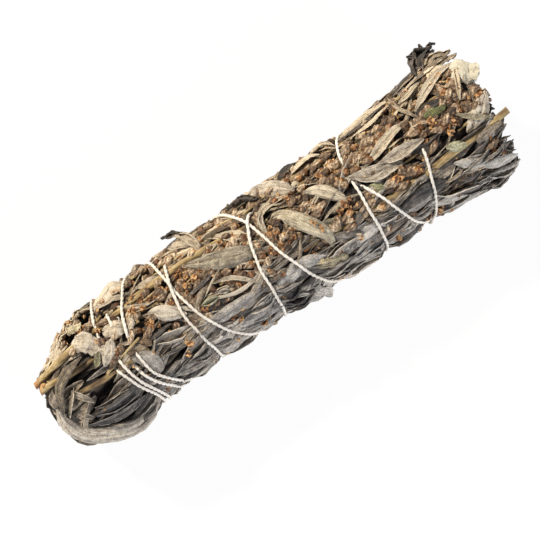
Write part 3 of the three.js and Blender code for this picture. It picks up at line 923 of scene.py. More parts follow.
# Torn bits that break the outline of both sides
for i in range(TORN_BITS):
    x = -50 + 3.1 * i + chance.uniform(-1.5, 1.5)
    degrees = chance.uniform(76, 98) * (1 if i % 2 else -1)
    height = chance.uniform(-0.3, 0.5)
    route = [(x, degrees, height), (x + chance.uniform(3, 9), degrees + chance.gauss(0, 6), height + 0.2)]
    grow(degrees, lay(chance.choice(outer_patterns), route, chance.uniform(1.2, 3.0),
                      roll=chance.uniform(-1.2, 1.2), tone=chance.uniform(-0.1, 0.6),
                      warm=chance.uniform(0.3, 0.9)))

# Slivers of torn leaf, whose edges catch the light
for x, degrees in scatter(pitch=9.0, rows=22):
    if mouth(x + 4, degrees) < 0.1:
        scatter_leaf(x, degrees, outer_patterns, chance.uniform(5, 14), chance.uniform(-0.5, 0.4),
                     chance.uniform(0.6, 1.4), turn=8, roll=0.8, tone=chance.uniform(0.2, 0.8))

# Twigs of flower heads
for x, degrees in scatter(pitch=6.0, rows=24):
    if chance.random() > 0.8 * flowering(degrees) * smooth(x, -60, -44) + 0.05 or mouth(x + 3, degrees) > 0.1:
        continue
    count = chance.randint(3, 6)
    skew = chance.gauss(0, 7)
    reach = min(count * 1.8, leaves_end(degrees) - 4 - x)
    if reach < 2:
        continue
    height = chance.uniform(-0.9, 0.1)
    ends = [(x, degrees - skew, height), (x + reach, degrees + skew, height + 0.3)]
    # Painted shade on the heads where the top dips between the outer stems.
    grow(degrees, *lay_spray(ends, count, tone=0.5 - 0.16 * shaded(x, degrees)))

GOLDEN_TURN = 137.5  # degrees, after which each next one falls in a wide gap between those before


def spread_round(count):
    """Numbers from 0, each with an angle, and the angles lie evenly round the bundle."""
    for i in range(count):
        yield i, i * GOLDEN_TURN % 360 - 180


# The tips are tucked in over the folded end.
for _, degrees in spread_round(TUCKED_TIPS):
    turn = chance.gauss(0, 30)
    route = [(-51 - chance.uniform(0, 5), degrees, -1.5),
             (-60 + chance.uniform(-1, 1), degrees + turn / 2, -1.2),
             (-62.3 + chance.uniform(0, 1.2), degrees + turn, -chance.uniform(2, 9.5))]
    grow(degrees, lay(chance.choice(outer_patterns), route, chance.uniform(2.6, 4.4),
                      roll=chance.gauss(0, 0.3), tone=chance.uniform(0.1, 0.6),
                      warm=chance.uniform(0.3, 0.9)))


def lay_inside(blank, points, facing, width, tone=0.5, warm=0.5):
    """Lays a blank along points given as (x, y, z) from the bundle's axis, its face turned one way."""
    unit = places_of(blank)
    place, heading = curve_through(points, unit[:, 0])
    side = unit_rows(np.cross(facing, heading))
    place += (side * unit[:, 1:2] + np.cross(heading, side) * unit[:, 2:3]) * width
    return copy_of(blank, from_axis(*place.T), tone, 0, warm)


within = random.Random(5)


def out_at(angle):
    """The direction straight out of the bundle at this angle, as (0, y, z)."""
    return np.array((0, -sin(angle), cos(angle)))


def stray(amount):
    """A small random step across the bundle, as (0, y, z)."""
    return np.array((0, within.gauss(0, amount), within.gauss(0, amount)))


# Across the folded end lie more, over the stems' ends.
LEAVES_ACROSS, INNER_ENDS, CUT_STEMS = 46, 280, 13
for i in range(LEAVES_ACROSS):
    turn = i * 2.4 + within.gauss(0, 0.4)
    reach = within.uniform(4.5, 8.0)
    offset = within.uniform(-5.0, 5.0)
    points = []
    for along in (-reach, -reach / 2, 0, reach / 2, reach):
        y = along * cos(turn) - offset * sin(turn)
        z = along * sin(turn) + offset * cos(turn)
        points.append((-62.0 + 0.028 * (y * y + z * z) + within.uniform(-0.7, 0.6), y - 2.2, z))
    grow(-90 - np.degrees(turn), lay_inside(
        within.choice(outer_patterns), points, (-1, 0, 0), within.uniform(2.4, 4.2),
        tone=within.uniform(-0.3, 0.6), warm=within.uniform(0.2, 0.9)))

# At the open end the inner leaves' ends crowd round the stems, turned every way as they dried.
for i, degrees in spread_round(INNER_ENDS):
    rim = float(seat_radius(56, radians(degrees))) - 2.0
    out = CORE_STEM_PITCH + (rim - CORE_STEM_PITCH) * within.random() ** 0.6
    foot = out_at(radians(degrees)) * out
    end = leaves_end(degrees) - within.uniform(0.2, 6.5)
    foot[0] = end - within.uniform(7, 11)
    points = [foot, foot + (4, 0, 0) + stray(0.3), (end - 2.2, foot[1], foot[2]) + stray(0.5),
              (end, foot[1], foot[2]) + stray(1.6)]
    facing = out_at(within.uniform(0, 2 * pi))
    grow(degrees, lay_inside(
        within.choice(outer_patterns if i % 3 else inner_patterns), points, facing,
        within.uniform(2.2, 4.4), tone=within.uniform(-0.2, 0.6), warm=within.uniform(0.1, 0.9)))

# The sprigs' own thinner stems, cut off among the leaves
CUT_STEM_START = 40
for _, degrees in spread_round(CUT_STEMS):
    foot = out_at(radians(degrees)) * within.uniform(6.3, 12.0)
    foot[0] = CUT_STEM_START
    end = leaves_end(degrees) + within.uniform(-2.5, 0.8)
    tip = foot + (end - CUT_STEM_START, 0, 0) + stray(0.6)
    grow(degrees, lay_inside(cut_stem_pattern, [foot, tip], (0, 0, 1), within.uniform(0.45, 0.95),
                             tone=within.uniform(0.35, 0.6) + cut_stem_pith))

# Crumbling clusters of open heads: x, degrees, and how many heads.
CLUSTERS = [
    (-61, -26, 4), (-46, -45, 6), (-44, -32, 4), (-49, -62, 4), (-33, -8, 6), (-34, -24, 5), (-31, -30, 7),
    (-27, -27, 6), (-25.5, -10, 5), (-22, -18, 5), (-20, -28, 8), (-19.5, -48, 4), (-17, -16, 7),
    (-15, -24, 6), (-21, 2, 4), (-11, 10, 6), (-8, -34, 6), (-6, -4, 7), (-3, 5, 6), (-2.5, 17, 6),
    (0.5, -4, 6), (1.5, -12, 5), (5, 1, 5), (9.5, -34, 6), (12.5, -14, 4), (19, -32, 6), (20.5, -26, 5),
    (18, 5, 5), (21, 9, 3), (22, -36, 5), (25.5, -29, 7), (27.5, -41, 5), (29.5, -33, 6), (33, -31, 4),
    (37, -34, 5), (40, -41, 4), (41.5, -18, 5), (33.4, 6, 2), (32.5, 16, 2), (38.4, 12, 3), (46, -12, 5),
    (48, -6, 5), (50, -8, 4), (54, -29, 4), (53, -10, 4), (56, -3, 4), (58, -7, 4), (55, 30, 4), (42, 62, 3),
    (54, 46, 3), (21, 84, 4), (25, 70, 4), (29, 84, 4), (33, 72, 3), (10.5, 74, 3), (6, 26, 3), (-38, 62, 3),
    (-15.5, 36, 4), (-4.5, 40, 3), (9, 41, 3), (-1, 72, 3), (-10, 64, 3), (18, 78, 4), (40, 80, 3),
    (-29, 32, 3), (-52, -56, 4), (-48, -66, 4), (23, 86, 4), (27, 88, 4), (31, 80, 3), (36, 76, 3),
    (19, 90, 3), (26, 60, 3), (-3.5, 60, 3), (-25, 60, 3),
]
for x, degrees, count in CLUSTERS:
    for _ in range(count):
        start = (x + chance.gauss(0, 1.0), degrees + chance.gauss(0, 4), chance.uniform(-0.7, 0.2))
        size = chance.uniform(0.9, 1.9)
        rise = (size * 0.7, chance.gauss(0, 3), size * chance.uniform(0.2, 0.7))
        tip = np.add(start, rise)
        grow(degrees, lay(chance.choice(crumb_patterns), [start, tip], size, roll=chance.uniform(0, 6),
                          tone=chance.uniform(0.15, 0.6)))

# Plump closed heads: x and degrees at the foot and at the tip, and width.
BUDS = [
    (28.6, 9, 33.6, 7, 2.7), (33.8, 7, 38.8, 13, 2.9), (31, 17, 35, 16, 2), (21.5, 14, 26, 12, 2.2),
    (21, 20, 24.6, 18, 1.7), (39.5, -20, 43.6, -14, 2.6), (43, -27, 46, -15, 2), (45, -8, 48, -3, 2),
    (48, -5, 51.5, -9, 2.2), (53, -30, 57.5, -26, 2.2), (53, 33, 57, 29, 2.4), (51.8, -15, 54, -9, 1.7),
    (42, 8, 45.2, 1, 2), (55, 1, 58, -3, 1.9), (56, -8, 59, -12, 2), (12.8, -13, 16.5, -11, 2.1),
    (10.5, -22, 13.6, -20, 1.8), (1, -12, 4, -13, 1.8), (16.5, 12, 20.5, 8, 1.8),
    (-11.5, -32, -8.5, -28, 1.8), (-9, -26, -6, -29, 1.7), (-14, -31, -11.5, -36, 1.6),
    (-29, -26, -26, -20, 1.8), (-24, -34, -21, -31, 1.8), (-20, -10, -17, -16, 1.9),
    (-16, -18, -13, -15, 1.8), (-34.5, 0, -32, -6, 2), (29, -31, 33, -30, 2.2), (26, -41, 28.5, -45, 2.2),
    (33, -40, 36.5, -34, 1.9), (21, -40, 24, -36, 1.9), (18, -44, 20.5, -41, 1.8),
    (-48.5, -58, -45.5, -55, 1.8), (-58.5, -44, -56, -50, 1.8), (20, 78, 22.5, 87, 2.6),
    (29, 82, 31.5, 90, 2.6), (10.5, 80, 12.5, 84, 2), (-45.5, -48, -43.5, -40, 1.7), (5, -46, 8, -42, 2.2),
    (9, -28, 11.5, -33, 2.2), (12, -17, 15, -8, 2.4), (2.5, -3, 4.8, -9, 2), (-1, 2, -3, 8, 2.2),
    (-3.5, 12, -2, 20, 2), (0.5, 1, 2.5, 5, 1.8), (17, -30, 20, -32, 2.2), (22.5, -30, 25, -24, 2.4),
    (20, -20, 23, -22, 2.2), (31, -36, 34.5, -38, 2.4), (34, -46, 37, -44, 2.2), (38, -36, 41, -42, 2.2),
    (44, -20, 47, -26, 2.2), (-12, 12, -10, 8, 2.2), (-18, -24, -15.5, -19, 2), (-36, 2, -33.5, -2, 2.2),
    (-33, -14, -30, -10, 2), (52, -20, 55, -24, 2.4), (58, -18, 60, -10, 2.2),
]
for x, degrees, tip_x, tip_degrees, width in BUDS:
    ends = [(x, degrees, 0.2), (tip_x, tip_degrees, 0.5)]
    grow(degrees, lay(chance.choice(bud_patterns), ends, width, roll=chance.uniform(0, 6),
                      tone=chance.uniform(0.22, 0.52)))

# Florets caught on the arched leaf
for x, degrees in ((11.0, -4), (11.4, -1), (12.1, 4), (12.0, 7)):
    grow(degrees, lay(crumb_patterns[0], [(x, degrees, 1.5), (x + 0.7, degrees + 1, 1.9)], 0.9))

# Florets that have fallen out and cling to the wool of the leaves.
for x, degrees in scatter(pitch=5.0, rows=30):
    if chance.random() < (0.12 + 0.6 * flowering(degrees)) * (0.3 + 0.7 * smooth(x, -56, -44)):
        size = chance.uniform(0.45, 0.9)
        height = chance.uniform(-0.2, 0.7) - MOUTH_DEPTH * float(mouth(x, degrees))
        ends = [(x, degrees, height), (x + size, degrees + chance.gauss(0, 2), height + 0.1)]
        grow(degrees, lay(grain_pattern, ends, size, roll=chance.uniform(0, 6),
                          tone=chance.uniform(0.4, 0.8)))

# Leaves that stand over the others: blade, width, tone, green, warm, midrib as (x, degrees, height).
STANDING_LEAVES = [
    ("boat", 2.8, 0.5, 0, 0.5, (-47.5, -40, 0.5), (-44.5, -15, 0.3)),
    ("ragged", 4.5, 0.6, 0, 0.6, (-42.5, -27, 0.9), (-35, -19, 0.5)),
    ("broad", 3.4, 0.52, 0, 0.4, (-46.5, 0, 0.4), (-41.5, -16, 1.1)),
    ("broad", 4.2, 0.42, 0, 0.1, (-40.5, 8, 0.6), (-37, 20, 1), (-36.5, 37, 0.3)),
    ("boat", 1.9, 0.22, 0.45, 0.5, (-48.5, -4, 0.6), (-45.5, -14, 0.8)),
    ("boat", 2.6, 0.5, 0, 0.6, (-41.5, -56, 0.3), (-36, -52, 0.6), (-32.5, -50, 0.4)),
    ("boat", 1.8, 0.6, 0, 0.5, (-56.5, -4, -1.2), (-55, 8, -0.4), (-53.2, 22, -1)),
    ("scroll", 1.7, 0.5, 0, 0.6, (-58.2, 18, -0.8), (-56.8, 28, -0.3), (-55.2, 38, -1)),
    ("torn", 1.5, -0.3, 0, 0.8, (-61.2, 10, -0.6), (-59.5, 24, -0.3), (-58, 36, -0.5)),
    ("boat", 2, 0.35, 0, 0.5, (-59.6, -16, 0), (-60.9, -6, 0.1), (-61.3, 6, -0.2)),
    ("ragged", 2.8, 0.55, 0, 0.85, (-55.5, -62, 0.7), (-50.5, -66, 0.9)),
    ("torn", 3.2, 0.55, 0, 0.9, (-50.5, -68, 0.1), (-46, -66, 0.4)),
    ("ragged", 3, 0.62, 0, 0.7, (-57, -48, 0.6), (-52, -52, 0.9)),
    ("boat", 2, 0.6, 0, 0.8, (-60, -36, 0.5), (-56, -42, 0.7)),
    ("torn", 3, 0.5, 0, 0.8, (-47, -72, 0.1), (-42.5, -74, 0.3)),
    ("ragged", 2.6, 0.6, 0.2, 0.8, (-49.5, -54, 0.7), (-45.5, -48, 0.9)),
    ("torn", 2.2, 0.65, 0, 0.9, (-53, -54, 0.6), (-49, -58, 0.8)),
    ("boat", 3.2, 0.24, 0, 0.1, (-54, 27, -0.6), (-46, 33, 0.1), (-38, 38, 0)),
    ("boat", 2.8, 0.1, 0, 0.1, (-58, 40, -0.3), (-50, 46, 0.2), (-42, 48, 0.1)),
    ("scroll", 2.2, 0.45, 0.4, 0.3, (-20.5, 6, 0.3), (-16, 8, 0.5)),
    ("scroll", 1.7, 0.45, 0, 0.4, (-15.5, 4, 0.4), (-13, 9, 0.3)),
    ("boat", 3, 0.75, 0, 0.8, (-8.5, -45, 0.5), (-2, -24, 0.4)),
    ("boat", 1.3, 0.85, 0, 0.8, (-14, -34, 0.4), (-9, -37, 0.5)),
    ("scroll", 1.7, 0.5, 0, 0.6, (3.5, -40, 0.6), (1.5, -28, 0.9), (1, -13, 0.4)),
    # Painted shade: a dark torn leaf under the drooping leaf.
    ("torn", 3, -0.35, 0, 0.7, (-2.5, -80, 0.9), (2, -66, 1.1), (5, -56, 0.7)),
    ("boat", 2.4, 0.3, 0.25, 0.7, (12.5, 3, 0.2), (17, 11, 0.1)),
    ("boat", 1.2, 0.5, 0, 0.7, (-15.5, -5, 0.8), (-10.5, 1, 1.2), (-6, 20, 0.7)),
    ("boat", 2, 0.62, 0, 0.8, (0.5, -29, 0.4), (4, -41, 0.8), (10.5, -41, 0.3)),
    # Painted shade: a near-black torn leaf put in a dark hollow.
    ("torn", 2.4, -0.55, 0, 0.5, (3, -22, 0.1), (5.8, -10, 0)),
    ("strap", 4.2, 0.45, 0, 0, (-5, 35, 0.4), (3, 28, 0.8), (12, 35, 0.4)),
    ("boat", 3, 0.12, 0, 0, (-16.5, 49, 0.3), (-8, 56, 0.3)),
    ("broad", 5, 0.14, 0, 0.1, (12.5, 19, 0.2), (17, 33, 0.6), (22.5, 51, 0.1)),
    ("boat", 0.9, 1, 0, 0.2, (15, 49, 0.9), (20, 42.5, 0.9)),
    ("boat", 2.2, 0.05, 0, 0, (-25, 42, 0.2), (-17, 39, 0.4), (-9, 38, 0.2)),
    ("strap", 2.8, 0.42, 0, 0.1, (24, 40, 0.1), (33, 45, 0.4), (42, 42, 0.1)),
    ("boat", 2.6, 0.5, 0, 0.1, (26, 62, 0.2), (36, 58, 0.4), (44, 60, 0.1)),
    ("strap", 2.6, 0.5, 0, 0.1, (-20, 66, 0.1), (-11, 70, 0.4), (-2, 66, 0.1)),
    ("boat", 2.4, 0.5, 0, 0.1, (14, 64, 0.2), (22, 68, 0.4), (29, 64, 0.1)),
    ("boat", 3, 0.42, 0, 0.5, (31.5, -13, 1), (37, -9.5, 1.4), (43.2, -6, 0.6)),
    ("broad", 2.8, 0.42, 0.6, 0.5, (26, 0, 1.1), (29.4, 7, 1.1)),
    ("ragged", 2, 0.12, 1, 0.5, (46, -20, 1.2), (51.5, -16, 1)),
    ("ragged", 6.4, 0.78, 0.12, 0.3, (56, -35, 0.7), (59.4, -30, 1.1), (62.5, -22, 0.5)),
    ("scroll", 1.6, 0.62, 0, 1, (59.3, -42, 1.5), (57.3, -27, 1.7), (54.8, -12, 1.4)),
    ("broad", 3.3, 0.55, 0, 0.1, (45.5, 26, 0.6), (53, 46, 0.5)),
    ("broad", 2.6, 0.45, 0.4, 0.3, (46, 11, 1.1), (50.5, 18, 1)),
    ("torn", 3.4, -0.25, 0, 0.5, (51.5, -76, 1), (53.5, -84, 3.6), (57.5, -80, 2.6)),
    ("boat", 2.4, 0.2, 0, 0.7, (43, -68, 0.4), (51, -70, 0.6), (57, -68, 0.3)),
    ("boat", 1.8, 0.5, 0, 0.8, (44, -60, 0.4), (52, -60, 0.7), (58.6, -58, 0.4)),
    ("torn", 3.4, 0.3, 0, 0.8, (52.5, -66, 0.4), (56.5, -66, 0.6), (60.2, -62, 0.4)),
    ("ragged", 2.8, 0.35, 0, 0.8, (53.5, -55, 0.5), (57.5, -56, 0.7), (60.6, -50, 0.3)),
    ("scroll", 2.4, 0, 0, 0.6, (46, -80, 0.3), (53, -78, 0.5), (57.5, -74, 0.2)),
    ("boat", 1.8, 0.55, 0, 0.8, (42, -78, 0.4), (50, -76, 0.6)),
    ("boat", 2.6, 0.12, 0, 0.8, (49, -57, 0.8), (54, -56, 1), (58.8, -54, 0.7)),
    ("boat", 1.6, 0.3, 0.2, 0.6, (52, -6, 0.9), (56, 6, 1.1), (58.5, 12, 0.8)),
    ("ragged", 2, 0.22, 0, 0.6, (52.5, 21, 1), (56, 19, 1.6), (59.5, 20, 1)),
    ("torn", 1.8, 0.25, 0, 0.5, (33, 25, 0.8), (37, 21, 1.3), (42, 23, 0.8)),
    ("scroll", 1.2, 0.35, 0, 0.9, (42, -72, 0.8), (42.6, -42, 1.1), (45.2, -22, 0.8)),
    # Painted shade: a dark leaf put in a dark gap among the heads.
    ("boat", 2.2, -0.35, 0, 0.4, (44, -26, 0.7), (48, -25, 0.8), (52, -21, 0.6)),
    ("torn", 1.4, 0.4, 0, 0.9, (-60, 48, 0.6), (-61.6, 54, 1.2)),
    ("torn", 1.8, -0.4, 0, 0.6, (53, -80, 1.4), (52.4, -84, 3.2), (51.2, -85, 4.6)),
    ("ragged", 4.2, -0.5, 0, 0.5, (51.6, -74, 1), (54, -80, 2.6), (56.6, -80, 3)),
    ("torn", 2.2, -0.3, 0, 0.6, (54, -80, 1.6), (55, -85, 3.8), (55.4, -86, 5)),
    ("torn", 2.2, -0.35, 0, 0.7, (55.5, -80, 1.4), (57.2, -84, 3.2), (58.6, -84, 2.6)),
    ("torn", 2.6, -0.55, 0, 0.6, (-14.5, -74, 1.4), (-16.5, -80, 2.6), (-19.5, -84, 3.2)),
    ("torn", 2.2, -0.1, 0, 0.8, (-13.8, -72, 1.2), (-16, -77, 2.2), (-18.6, -80, 2.9)),
    ("torn", 4, 0, 0, 0.2, (46.5, 68, 0.3), (52, 76, 0.7), (57, 74, 0.4)),
    ("boat", 3, 0.2, 0, 0, (47, 58, 0.4), (56, 66, 0.4)),
    ("broad", 3.8, 0.55, 0, 0, (50.5, 43, 0.4), (54.5, 50, 1), (59, 56, 0.4)),
    ("ragged", 3, 0.6, 0, 0.7, (-24.5, -84, 0.4), (-19.5, -76, 0.5)),
    ("boat", 3, 0.5, 0, 0.7, (-19.5, -80, 0.6), (-17.5, -66, 0.8), (-14.8, -52, 0.4)),
    ("boat", 2.1, 0.6, 0, 0.7, (-31, -48, 0.3), (-25, -44, 0.4)),
    ("boat", 2.2, 0.6, 0, 0.7, (-52, -58, 0.4), (-46, -64, 0.3)),
    ("scroll", 2.6, 0.45, 0, 0.8, (-45, -72, 0.4), (-41, -68, 0.5)),
    ("boat", 2.6, -0.35, 0, 0.6, (16.5, -80, 1), (13.5, -72, 1.4), (10.5, -68, 0.8)),
    ("boat", 3, 0.66, 0, 0.8, (14, -60, 1), (18, -64, 1.6), (22, -60, 1)),
    ("scroll", 2.6, 0.66, 0, 0.8, (19, -72, 0.9), (23, -74, 1.4), (26, -66, 0.8)),
    ("strap", 2.6, 0.6, 0, 0.8, (27, -74, 0.8), (34, -70, 1.3), (41.5, -72, 0.8)),
    ("boat", 1.8, -0.15, 0, 0.6, (28, -62, 0.9), (35, -60, 1.2), (41, -64, 0.8)),
    ("boat", 2, 0.68, 0, 0.8, (30, -54, 1), (36, -51, 1.5), (42, -56, 1)),
    ("strap", 2.4, -0.25, 0, 0.6, (42, -75, 0.7), (48, -77, 1), (54, -74, 0.6)),
    ("boat", 1.8, 0.55, 0, 0.8, (43, -48, 1), (46, -47, 1.4), (50, -51, 0.9)),
    # Painted shade: the next two dark torn leaves are put in dark gaps low on the near side.
    ("torn", 3.2, -0.5, 0, 0.2, (-7.5, 42, 0.9), (-3, 46, 1.1), (1, 43, 0.8)),
    ("torn", 3.4, -0.55, 0, 0.2, (-5, 58, 0.9), (-1, 63, 1.1), (3, 60, 0.7)),
    ("scroll", 1.1, 0.5, 0, 0.2, (-2.5, 49, 1.3), (0.5, 54, 1.5), (1.5, 60, 1.2)),
    ("boat", 1, 0.5, 0, 0.1, (-8, 38.5, 1.1), (-3, 37, 1.4), (2, 40, 1)),
]
for blade, width, tone, green, warm, *route in STANDING_LEAVES:
    roll = chance.uniform(-0.3, 0.3)
    grow(route[0][1], lay(blades[blade], route, width, roll, tone, green, warm))

# A bare twig along the bottom of the hollow
bare_twig = [(-56, 4, -1.6), (-50, 8, -1.0), (-44, 9, -0.6), (-36, 12, -0.6)]
sprigs[3].append(lay(twig_pattern, bare_twig, 0.75, tone=0.4))

for i, parts in enumerate(sprigs):
    finished(joined(f"sprig_{i + 1:02d}", parts), "packed_leaf", f"sprig_foliage_{i + 1:02d}")

# ---- Outer stems ----
# Five stems that lie at the surface. They were cut with the bundle, and stand out a little at its ends.
# At the folded end the cut wood has turned rusty. Each: radius, tone, and its middle line.
OUTER_STEMS = [
    (0.95, 0.42, (-62.5, -37, 0.6), (-55, -33, 0.5), (-48, -36, -0.6), (-41, -38, -1.2), (-33, -40, -0.3),
     (-20, -41, 0.1), (-9, -40, -0.4), (-2, -38, -1.2)),
    (0.85, 0.33, (6, 16, -1), (20, 17, -0.7), (33, 21, -0.2), (46, 18, 0.2), (56, 17.5, 0.1),
     (62.6, 16.5, -0.1)),
    (1, 0.4, (-58, 130, -1), (-20, 134, -0.5), (20, 127, -0.5), (50, 130, -0.4), (60, 132, -0.6)),
    (1, 0.45, (-56, 230, -1), (-20, 226, -0.5), (20, 233, -0.5), (50, 230, -0.4), (60, 228, -0.6)),
    (0.85, 0.42, (-62.2, -24, 0.3), (-59, -21, 0.2), (-56, -18, -0.8), (-50, -14, -2), (-40, -12, -2.2)),
]
rusty = 0.8 * (stem_places[:, 0] < 0.02)
for i, (radius, tone, *route) in enumerate(OUTER_STEMS):
    stem = lay(stem_pattern, route, radius, tone=tone, green=rusty)
    finished(joined(f"surface_stem_{i + 1:02d}", [stem], dry_stem), "stem", f"outer_stem_{i + 1:02d}")

# ---- Flower sprays ----
# The tops of the sprigs that lie outermost: heads crowded along a stalk. Each: degrees, where it starts
# along the bundle, and its pairs of heads.
FLOWER_SPRAYS = [
    (-12, -33, 8), (-12, -9, 8), (-12, 32, 9), (-38, 6, 10), (16, -30, 10), (50, 38, 7), (-76, -22, 7),
    (88, -4, 6),
]
HEAD_PITCH = 2.5
for i, (degrees, x, pairs) in enumerate(FLOWER_SPRAYS):
    end = x + (pairs - 1) * HEAD_PITCH + 3.0
    route = [(x, degrees - 2, -1.0), ((x + end) / 2, degrees + 3, -0.6), (end, degrees - 1, -0.5)]
    spray = joined(f"flower_heads_{i + 1:02d}", lay_spray(route, 2 * pairs))
    finished(spray, "flower_head", f"flower_spray_{i + 1:02d}")

# ---- Outer leaves ----
# Whole woolly leaves that lie over everything else, held by the string or hooked among the flowers.
# Each is a blade with a sunk midrib, curled as it dried: arched, folded on its midrib or rolled.
# Each: blade, width, roll, tone, green, warm, and its midrib as (x, degrees, height).
OUTER_LEAVES = {
    "arched_leaf": ("broad", 4.3, -0.2, 0.42, 0.1, 0.65, (3, -25, 0.4), (6, -25, 1.3), (9.3, -11, 1.7),
        (11.8, 5, 1.3), (12.6, 17, 0.9), (11.9, 29.5, 0.3)),
    "pale_leaf": ("broad", 3.3, 0.2, 0.6, 0.05, 0.6, (13.5, -32, 0.6), (17.5, -22, 1), (21, 0, 0.3)),
    "broad_leaf": ("boat", 4.2, -0.1, 0.34, 0, 0.4, (23.8, -19, 0.5), (29, -9, 0.8), (36.3, 0, 0.3)),
    "slender_leaf": ("boat", 2.7, 0.3, 0.6, 0, 0.7, (28.5, -18.5, 0.4), (33, -24, 0.9), (37, -28, 0.8),
        (42.6, -29, 0.4)),
    "open_end_long_leaf": ("boat", 3, 0.2, 0.55, 0, 0.6, (45, -30, 0.3), (49.5, -38, 0.8), (54, -43, 0.8),
        (59, -43, 0.6)),
    "open_end_wide_leaf": ("broad", 4.6, 0.1, 0.46, 0, 0.4, (52, 12, 0.2), (57, 4, 0.7), (61, -6, 0.3)),
    "open_end_cupped_leaf": ("scroll", 4.6, 0, 0.34, 0, 0.1, (50, 56, 0.2), (54.5, 62, 0.7), (59, 67, 0.3)),
    "speckled_leaf": ("broad", 3.9, 0, 0.6, 0, 0.4, (-31.5, -17, 0.3), (-28, -8, 0.8), (-24.3, 5, 0.3)),
    "grey_leaf": ("broad", 5.2, 0, 0.24, 0.12, 0.45, (0, -13, 0), (-6, -14, 0.9), (-12, -22, 1.1),
        (-18.2, -35, 0.7)),
    "long_leaf": ("strap", 3.6, 0.1, 0.34, 0, 0, (-32, 24, 0.1), (-24, 28, 0.6), (-15, 27, 0.7),
        (-3, 24, 0.2)),
    "low_leaf": ("strap", 2.8, 0.2, 0.5, 0, 0.1, (-32, 55, 0.1), (-18, 52, 0.3), (-5, 57, 0.1)),
    "round_leaf": ("ragged", 5.2, 0, 0.54, 0, 0.5, (-50.5, -36, 0.4), (-47, -28, 1.1), (-44, -11, 0.3)),
    "high_leaf": ("strap", 5.4, 0.35, 0.66, 0, 0.6, (-41.8, -62, 0.4), (-36, -66, 0.9), (-30, -78, 0.5)),
    "drooping_leaf": ("broad", 5.2, 0.3, 0.48, 0, 0.5, (1, -76, 0.4), (5, -72, 1), (8.5, -58, 1.2),
        (12.3, -40, 0.4)),
    "yellow_leaf": ("ragged", 3.2, 0.1, 0.34, 0.18, 0.9, (6, 35, 0.8), (10, 40, 1.3), (13.8, 44, 0.8)),
    "loose_leaf": ("ragged", 4.2, 0.3, 0.52, 0, 0.1, (2, 60, 0.2), (4.3, 74, 1.5), (5.8, 84, 2.6)),
    "upright_leaf": ("scroll", 3.6, 0.2, 0.4, 0, 0.7, (-13.5, -38, 0.2), (-13.8, -52, 0.8), (-15, -68, 1.6),
        (-17, -78, 2.4)),
    "crumpled_leaf": ("torn", 4.2, 0.4, -0.2, 0, 0.5, (50.5, -60, 0.3), (52.5, -72, 1.2), (54.5, -82, 1.7),
        (57.5, -90, 1.6)),
    "fold_strap_leaf": ("strap", 4.8, -0.7, 0.48, 0, 0.3, (-61, 4, -0.6), (-60.6, 32, 0.3), (-58.2, 51, 0.9),
        (-53.5, 63, 1.4), (-48, 69, 1.8), (-43, 65, 1.4), (-39.5, 61, 0.4)),
    "fold_dark_leaf": ("broad", 2.6, 0, 0.05, 0.08, 0.7, (-49.5, -21, 0.4), (-55, -17, 1), (-58.5, -8, 0.9),
        (-60.8, 14, 0.2)),
    "fold_tan_leaf": ("broad", 3.2, 0, 0.66, 0, 0.9, (-60, -54, 0), (-56, -46, 0.6), (-51, -40, 0.2)),
    "back_leaf": ("broad", 5, 0.1, 0.55, 0, 0.5, (-14, -136, 0.2), (-4, -128, 0.8), (6, -120, 0.2)),
    "front_low_leaf_01": ("scroll", 4.2, 0.1, 0.5, 0, 0.3, (24, 128, 0.2), (31, 122, 0.7), (38, 118, 0.3)),
    "front_low_leaf_02": ("broad", 4.2, 0.1, 0.55, 0, 0.3, (-54, 128, 0.1), (-48, 124, 0.6),
        (-42, 116, 0.1)),
}
for name, (blade, width, roll, tone, green, warm, *route) in OUTER_LEAVES.items():
    leaf = joined(name + "_blade", [lay(blades[blade], route, width, roll, tone, green, warm)])
    finished(leaf, "leaf", name)

# ---- Under leaves ----
# Leaves caught between the bundle and the table and pressed flat, between the string's turns.
# Each: the middle's x, length, and width.
UNDER_LEAVES = [(-51, 15, 10), (-20.8, 10, 9), (2.3, 14, 10), (26.5, 8.5, 9), (50, 16, 11)]
for i, (x, length, width) in enumerate(UNDER_LEAVES):
    leaves = []
    for across in (-0.32, -0.05, 0.1, 0.34):
        skew = chance.uniform(-0.2, 0.2)
        height = chance.uniform(-0.1, 0.7)
        route = [(x - length / 2, 180 + (across - skew) * width * 3, height),
                 (x, 180 + across * width * 4.2, height),
                 (x + length / 2, 180 + (across + skew) * width * 3, height)]
        leaves.append(lay(blades["broad"], route, width * 0.42, chance.uniform(-0.2, 0.2),
                          chance.uniform(0.3, 0.7)))
    finished(joined(f"pressed_leaves_{i + 1:02d}", leaves), "leaf", f"under_leaf_{i + 1:02d}")

# ---- String ----
# One cotton string of two plies, wound up the bundle to the open end and back. Where a later turn
# crosses an earlier one it rides over. The ends are tied behind the bundle.
PLY_RADIUS, PLY_OFFSET, PLY_PITCH = 0.27, 0.13, 2.9
CROSSING_WIDTH = 1.3  # how near two turns come before one starts to climb over the other
HALF_TURN = int(180 / ROUTE_STEP)  # steps along the route; nearer ones are the same stretch of string

lifts = np.zeros(len(route_angle))
for i in range(HALF_TURN + 1, len(route_angle)):
    earlier = slice(0, i - HALF_TURN)
    around = (route_arc[i] - route_arc[earlier] + circumference / 2) % circumference - circumference / 2
    apart = np.hypot(route_x[i] - route_x[earlier], around)
    lifts[i] = ((lifts[earlier] + STRING_DIAMETER) * np.exp(-((apart / CROSSING_WIDTH) ** 2))).max()


